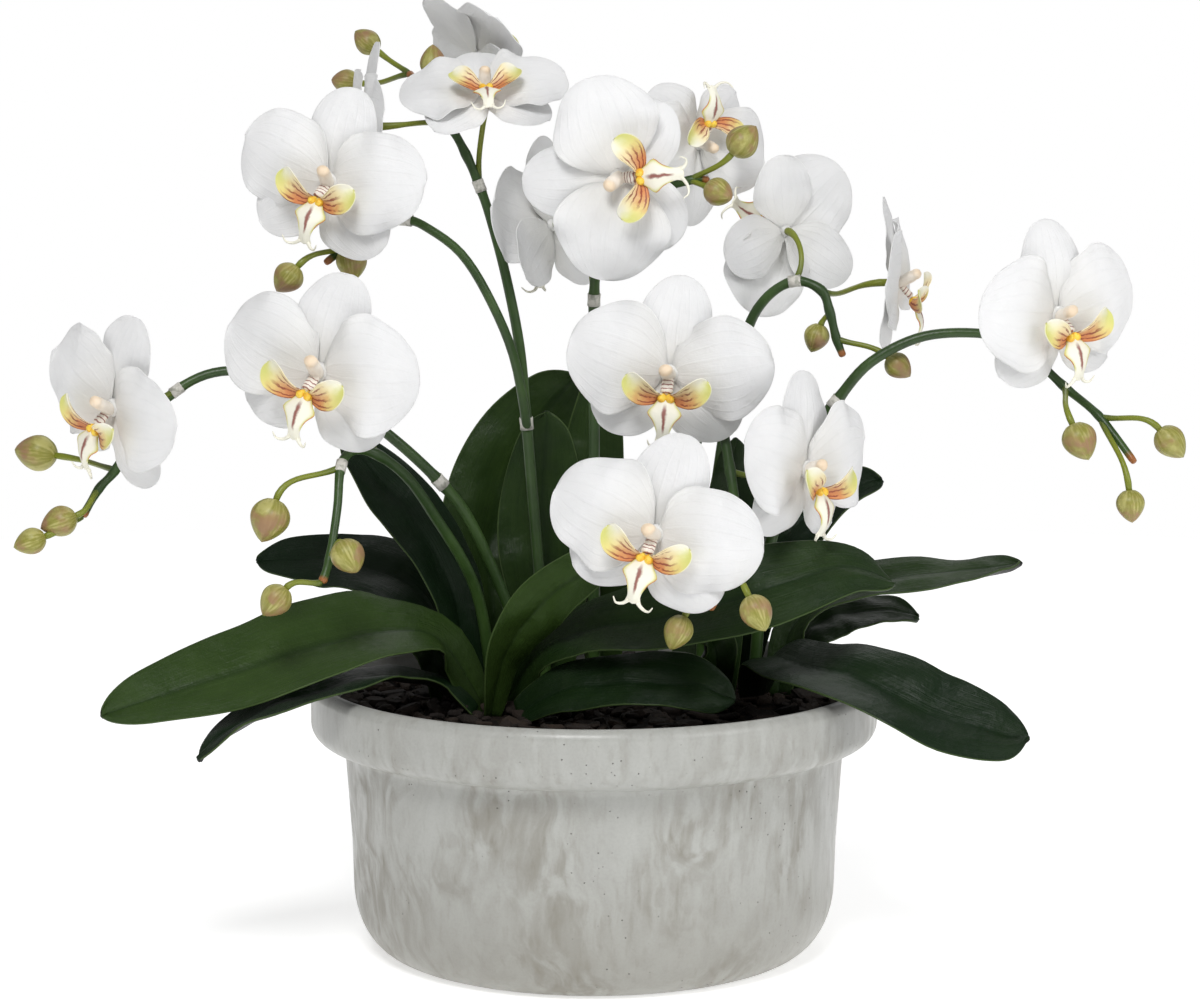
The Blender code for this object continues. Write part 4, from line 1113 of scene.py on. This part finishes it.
for number, (hub, rotation, size) in enumerate(flower_places, 1):
    dice = random.Random(100 + number)
    place = flower_matrix(hub, rotation, size)
    node = f"flower_{number:02d}_petals"

    sepals_shape = Shape("across", "along", "upper")
    turn(sepals_shape, hub_profile, HUB_SIDES)
    for angle, length in ((0.0, DORSAL_SEPAL_LENGTH), (LATERAL_SEPAL_ANGLE, LATERAL_SEPAL_LENGTH),
                          (-LATERAL_SEPAL_ANGLE, LATERAL_SEPAL_LENGTH)):
        add_tepal(sepals_shape, angle + dice.uniform(-3.0, 3.0), length, SEPAL_WIDTH, SEPAL_LEVEL,
                  bow=dice.uniform(0.6, 2.4), droop=dice.uniform(1.5, 4.0), peak=dice.uniform(0.9, 1.05),
                  base_power=0.72, ruffle=SEPAL_RUFFLE, dice=dice)
    install(sepals_shape.piece(f"sepals_{number:02d}", petal, place), "petal", node)

    petals_shape = Shape("across", "along", "upper")
    for angle in (PETAL_ANGLE, -PETAL_ANGLE):
        add_tepal(petals_shape, angle + dice.uniform(-4.0, 4.0), PETAL_LENGTH,
                  PETAL_WIDTH * dice.uniform(0.9, 1.0), PETAL_LEVEL, bow=dice.uniform(3.0, 5.5),
                  droop=dice.uniform(-1.0, 3.5), peak=dice.uniform(0.8, 1.0),
                  base_power=dice.uniform(0.45, 0.62), ruffle=dice.uniform(2.0, 3.2), dice=dice)
    install(petals_shape.piece(f"petals_{number:02d}", petal, place), "petal", node)

# ---------------------------------------------------------------- lip and column
# In the middle stands the ivory column with its peach cap. Below it the lip spreads two yellow-green
# side lobes, barred red at their foot, round a bright callus, and hangs an arrow-shaped middle lobe.

LIP_THICKNESS = 0.9
LIP_STATIONS = 22
LIP_COLUMNS = 10
COLUMN_FOOT = 2.5
TAIL_SIDES = 8
TAIL_STEPS = 10
BLOB_SIDES = 20

# Points from the flower's hub. The side lobes' are for the right one, and x and the cup change sign
# for the left. Each point of a spine has a half width and the way across the lobe there.
SIDE_LOBE_SPINE = ((1.5, -8.8, 7.5), (5.0, -8.6, 9.5), (9.5, -7.0, 12.0), (13.8, -3.8, 13.2),
                   (17.4, 0.6, 13.0))
SIDE_LOBE_ACROSS = ((0.0, 0.8, 0.6), (-0.2, 0.85, 0.5), (-0.45, 0.85, 0.3), (-0.65, 0.75, 0.2),
                    (-0.75, 0.65, 0.2))
SIDE_LOBE_HALF_WIDTHS = (1.8, 3.4, 5.3, 6.3, 6.0)
SIDE_LOBE_CUP = -0.45
SIDE_LOBE_ROUND_FROM = 0.62
MIDDLE_LOBE_SPINE = ((0, -9.0, 8.0), (0, -12.0, 10.5), (0, -15.5, 12.2), (0, -19.0, 13.0),
                     (0, -22.5, 12.8), (0, -25.8, 11.6), (0, -28.5, 10.0))
MIDDLE_LOBE_HALF_WIDTHS = (2.6, 4.8, 7.4, 4.9, 3.3, 2.6, 3.2)
MIDDLE_LOBE_CUP = 0.16
MIDDLE_LOBE_PINCH = 0.5
TAIL_SPINE = ((1.8, -27.8, 10.4), (4.5, -30.0, 10.0), (7.5, -30.2, 11.5), (9.0, -27.6, 13.5))

# Profiles as (radius, distance along the line).
CALLUS_PROFILE = [(0.0, -2.0), (1.6, -1.2), (2.1, 0.4), (1.7, 1.9), (0.8, 2.7), (0.0, 2.9)]
COLUMN_PROFILE = [(0.0, -1.5), (3.1, -1.2), (3.3, 1.0), (3.2, 3.5), (3.3, 5.5), (3.3, 7.0), (2.9, 8.0),
                  (3.1, 8.8), (2.8, 10.2), (1.7, 11.3), (0.0, 11.6)]
COLUMN_FOOT_PROFILE = [(0.0, -4.6), (2.4, -3.8), (2.7, 0.0), (2.8, 3.0), (0.0, 4.0)]

LIP_GREEN = (0.62, 0.62, 0.19)
LIP_YELLOW = (0.84, 0.68, 0.28)
LIP_CREAM = (0.86, 0.84, 0.72)
LIP_RED = (0.58, 0.17, 0.06)
LIP_DARK_RED = (0.22, 0.03, 0.02)
CALLUS_ORANGE = (0.86, 0.46, 0.03)
CALLUS_YELLOW = (0.90, 0.65, 0.08)
COLUMN_IVORY = (0.86, 0.80, 0.72)
COLUMN_PEACH = (0.84, 0.64, 0.42)


def add_lobe(shape, spine, half_widths, acrosses, cup, pinch=0.0, round_from=1.0):
    """Adds a lobe: a sheet along a spine, with its width and the way across given at each point.

    Past round_from, a share of its length, its sides close to a round tip.
    """
    last = len(spine) - 1
    rows = []
    halves = []
    for station in range(LIP_STATIONS + 1):
        t = 1.0 - (1.0 - station / LIP_STATIONS) ** 1.6
        place = last * t
        middle = between(spine, place)
        closing = math.sqrt(max(0.0, 1.0 - max(0.0, (t - round_from) / (1.005 - round_from)) ** 2))
        half = max(0.15, between(half_widths, place) * closing)
        across = between(acrosses, place).normalized()
        normal = across.cross(direction(spine, place)).normalized()
        row = []
        thickness = []
        for column in range(LIP_COLUMNS + 1):
            u = crowded(column, LIP_COLUMNS)
            crest = cup * half * u * u - pinch * math.exp(-(u / 0.25) ** 2)
            row.append(middle + across * (half * u) + normal * crest)
            thickness.append(0.5 * LIP_THICKNESS * (1.0 - 0.5 * u * u))
        rows.append(row)
        halves.append(thickness)
    add_sheet(shape, rows, halves)


def add_blob(shape, centre, way, profile, squash=1.0, **measures):
    """Adds a rounded body about a line through its centre, squashed across from front to back."""
    facing = way.to_track_quat("Z", "Y").to_matrix()
    loose = Shape()
    turn(loose, profile, BLOB_SIDES)
    corners = [centre + facing @ Vector((corner.x, corner.y * squash, corner.z)) for corner in loose.corners]
    length = profile[-1][1] - profile[0][1]
    along = [(corner.z - profile[0][1]) / length for corner in loose.corners]
    shape.add(corners, [list(reversed(face)) for face in loose.faces], along=along, **measures)


lobes = Finish("lip_lobes", specular_ior_level=0.4)
lobe_along = lobes.measure("along")
lobe_across = lobes.measure("across")
lobe_cloud = lobes.noise(lobes.position(), 260.0, 3.0)
lobe_base = (lobe_along + (lobe_cloud - 0.5) * 0.3).rising(0.58, 0.22)
lobe_bars = ((lobe_across + lobe_cloud * 0.4 + lobe_along * 0.3) * 17.0).sine().rising(0.35, 0.75)
lobe_bars = lobe_bars * lobe_along.rising(0.58, 0.34) * lobe_cloud.rising(0.32, 0.48)
lobe_colour = lobes.mix((lobe_across + lobe_cloud * 0.6).rising(-0.2, 0.9), LIP_GREEN, LIP_CREAM)
lobe_colour = lobes.mix(lobe_along.rising(0.75, 0.45) * 0.6, lobe_colour, LIP_YELLOW)
lobe_colour = lobes.mix(lobe_base * lobe_across.rising(0.9, -0.3) * 0.9, lobe_colour, LIP_RED)
lobe_colour = lobes.mix(lobe_bars * 0.85, lobe_colour, LIP_DARK_RED)
lobe_rim = abs(lobe_across).rising(0.88, 1.0) * lobe_along.rising(0.4, 0.6) * 0.6
lobe_colour = lobes.mix(lobe_rim, lobe_colour, LIP_CREAM)
lobes.set(colour=lobe_colour, roughness=0.38 + lobe_cloud * 0.15, relief=lobe_cloud, depth=0.3)

midlobe = Finish("lip_middle", specular_ior_level=0.4)
mid_along = midlobe.measure("along")
mid_across = midlobe.measure("across")
mid_cloud = midlobe.noise(midlobe.position(), 300.0, 3.0)
mid_stripe = abs(mid_across + (mid_cloud - 0.5) * 0.2).rising(0.14, 0.03)
mid_stripe = mid_stripe * mid_along.rising(0.08, 0.2) * mid_along.rising(0.62, 0.45)
mid_wing = abs(mid_across).rising(0.45, 0.9) * mid_along.rising(0.62, 0.48)
mid_rim = abs(mid_across).rising(0.7, 1.0) * mid_along.rising(0.15, 0.3) * mid_along.rising(0.5, 0.4)
mid_colour = midlobe.mix(mid_wing, LIP_CREAM, LIP_GREEN)
mid_colour = midlobe.mix(mid_rim, mid_colour, LIP_RED)
mid_colour = midlobe.mix(mid_stripe * 0.9, mid_colour, LIP_DARK_RED)
midlobe.set(colour=mid_colour, roughness=0.4 + mid_cloud * 0.15, relief=mid_cloud, depth=0.3)

callus = Finish("lip_callus", specular_ior_level=0.45)
callus_cloud = callus.noise(callus.position(), 520.0, 3.0)
callus_dots = callus.cells(callus.position(), 900.0).rising(0.22, 0.12)
callus_colour = callus.mix(callus_cloud.rising(0.4, 0.65), CALLUS_YELLOW, CALLUS_ORANGE)
callus.set(colour=callus.mix(callus_dots * 0.6, callus_colour, LIP_RED), roughness=0.35 + callus_cloud * 0.15,
           relief=callus_cloud, depth=0.8)

column = Finish("flower_column", specular_ior_level=0.45)
column_cloud = column.noise(column.position(), 240.0, 3.0)
column_cap = (column.measure("along") + (column_cloud - 0.5) * 0.5).rising(0.55, 1.0)
column_foot = column.measure("foot")
column_bars = (column.measure("along") * 30.0 + column_cloud * 9.0).sine().rising(0.5, 0.8) * column_foot
column_colour = column.mix(column_cap * (1.0 - column_foot) * 0.75, COLUMN_IVORY, COLUMN_PEACH)
column.set(colour=column.mix(column_bars * 0.85, column_colour, LIP_DARK_RED),
           roughness=0.36 + column_cloud * 0.15, relief=column_cloud, depth=0.8)


def side_lobe_shape(side, flare):
    """The left or right side lobe, from the callus outwards and up beside the column."""
    shape = Shape("across", "along", "upper")
    spine = [Vector((side * x, y, z)) for x, y, z in SIDE_LOBE_SPINE]
    acrosses = [Vector((side * x, y, z)) for x, y, z in SIDE_LOBE_ACROSS]
    half_widths = list(SIDE_LOBE_HALF_WIDTHS)
    half_widths[3] *= flare
    add_lobe(shape, spine, half_widths, acrosses, SIDE_LOBE_CUP * side, round_from=SIDE_LOBE_ROUND_FROM)
    return shape


def middle_lobe_shape(dice):
    """The hanging middle lobe, with two wings near its head and two curling tails."""
    shape = Shape("across", "along", "upper")
    spine = [Vector(point) for point in MIDDLE_LOBE_SPINE]
    across = Vector((1.0, 0.0, 0.0))
    add_lobe(shape, spine, MIDDLE_LOBE_HALF_WIDTHS, [across] * len(spine), MIDDLE_LOBE_CUP, MIDDLE_LOBE_PINCH)
    for side in (-1.0, 1.0):
        curl = dice.uniform(0.7, 1.3)
        tail = [Vector((side * x, y, z)) for x, y, z in TAIL_SPINE]
        for point in tail[1:]:
            point.x *= curl
        points = [between(tail, 3.0 * step / TAIL_STEPS) for step in range(TAIL_STEPS + 1)]
        radii = [0.95 - 0.07 * step for step in range(TAIL_STEPS + 1)]
        add_rod(shape, points, radii, TAIL_SIDES, along=1.0, across=0.9)
    return shape


for number, (hub, rotation, size) in enumerate(flower_places, 1):
    dice = random.Random(200 + number)
    place = flower_matrix(hub, rotation, size)
    node = f"flower_{number:02d}_lip"
    for side, word in ((-1.0, "left"), (1.0, "right")):
        lobe_shape = side_lobe_shape(side, dice.uniform(0.9, 1.1))
        install(lobe_shape.piece(f"lip_{word}_lobe_{number:02d}", lobes, place), "lip", node)
    install(middle_lobe_shape(dice).piece(f"lip_middle_lobe_{number:02d}", midlobe, place), "lip", node)

    callus_shape = Shape("along")
    for x in (-1.5, 1.5):
        add_blob(callus_shape, Vector((x, -9.3, 8.6)), Vector((0.25 * x, -0.3, 1.0)), CALLUS_PROFILE)
    install(callus_shape.piece(f"lip_callus_{number:02d}", callus, place), "lip", node)

    column_shape = Shape("along", "foot")
    lean = Vector((dice.uniform(-0.45, 0.15), dice.uniform(0.25, 0.75), 1.0))
    add_blob(column_shape, Vector((0.0, 0.0, COLUMN_FOOT)), lean, COLUMN_PROFILE, 0.85)
    add_blob(column_shape, Vector((0.0, -4.6, 5.6)), Vector((0.0, -0.75, 0.66)), COLUMN_FOOT_PROFILE,
             0.6, foot=1.0)
    install(column_shape.piece(f"column_{number:02d}", column, place), "lip", node)

# ---------------------------------------------------------------- floor, lights and camera
# A wide pale floor, soft light from above the front, from the right and from behind, and a camera
# with a long lens, a little above the rim. Lengths here are in metres.

FLOOR_WHITE = (0.92, 0.92, 0.92)
FLOOR_GLOW = 0.52
AMBIENT = 0.33
FLOOR_RADIUS = 1.4
FLOOR_SIDES = 96
CAMERA_DISTANCE = 1.6
CAMERA_ELEVATION = 7.6
CAMERA_TARGET = Vector((0.00275, 0.0, 0.207))
CAMERA_LENS = 105.0

floor_finish = Finish("studio_floor", roughness=0.9, specular_ior_level=0.1, emission_strength=FLOOR_GLOW)
floor_finish.set(colour=FLOOR_WHITE)
floor_shape = Shape()
floor_shape.add(circle(FLOOR_RADIUS / MM, 0.0, FLOOR_SIDES), [list(range(FLOOR_SIDES))])
floor = floor_shape.piece("studio_floor", floor_finish, smooth=False)


def soft_light(name, place, aim_height, size, power):
    """A round soft lamp that points at a height on the plant's axis."""
    lamp = bpy.data.lights.new(name, "AREA")
    lamp.shape = "DISK"
    lamp.size = size
    lamp.energy = power
    light = bpy.data.objects.new(name, lamp)
    light.location = place
    aim = Vector((0.0, 0.0, aim_height))
    light.rotation_euler = (aim - light.location).to_track_quat("-Z", "Y").to_euler()
    bpy.context.scene.collection.objects.link(light)


soft_light("key_light", Vector((-0.3, -1.6, 1.8)), 0.2, 0.8, 27.0)
soft_light("fill_light", Vector((1.6, -1.2, 1.0)), 0.2, 1.2, 13.0)
soft_light("back_light", Vector((0.4, 1.8, 1.8)), 0.25, 1.4, 7.0)

# The world lights the plant dimly, and shows white where the camera sees past the floor.
world = bpy.data.worlds.new("studio")
world.use_nodes = True
sky = world.node_tree
ambient = sky.nodes["Background"]
ambient.inputs["Color"].default_value = (1.0, 1.0, 1.0, 1.0)
ambient.inputs["Strength"].default_value = AMBIENT
backdrop = sky.nodes.new("ShaderNodeBackground")
backdrop.inputs["Color"].default_value = (1.0, 1.0, 1.0, 1.0)
seen = sky.nodes.new("ShaderNodeLightPath")
blend = sky.nodes.new("ShaderNodeMixShader")
sky.links.new(seen.outputs["Is Camera Ray"], blend.inputs["Fac"])
sky.links.new(ambient.outputs["Background"], blend.inputs[1])
sky.links.new(backdrop.outputs["Background"], blend.inputs[2])
sky.links.new(blend.outputs["Shader"], sky.nodes["World Output"].inputs["Surface"])
bpy.context.scene.world = world
bpy.context.scene.view_settings.view_transform = "Standard"

lens = bpy.data.cameras.new("camera")
lens.lens = CAMERA_LENS
lens.sensor_width = 36.0
camera = bpy.data.objects.new("camera", lens)
elevation = math.radians(CAMERA_ELEVATION)
camera.location = CAMERA_TARGET + CAMERA_DISTANCE * Vector((0.0, -math.cos(elevation), math.sin(elevation)))
camera.rotation_euler = (CAMERA_TARGET - camera.location).to_track_quat("-Z", "Y").to_euler()
bpy.context.scene.collection.objects.link(camera)
bpy.context.scene.camera = camera

bpy.context.view_layer.update()
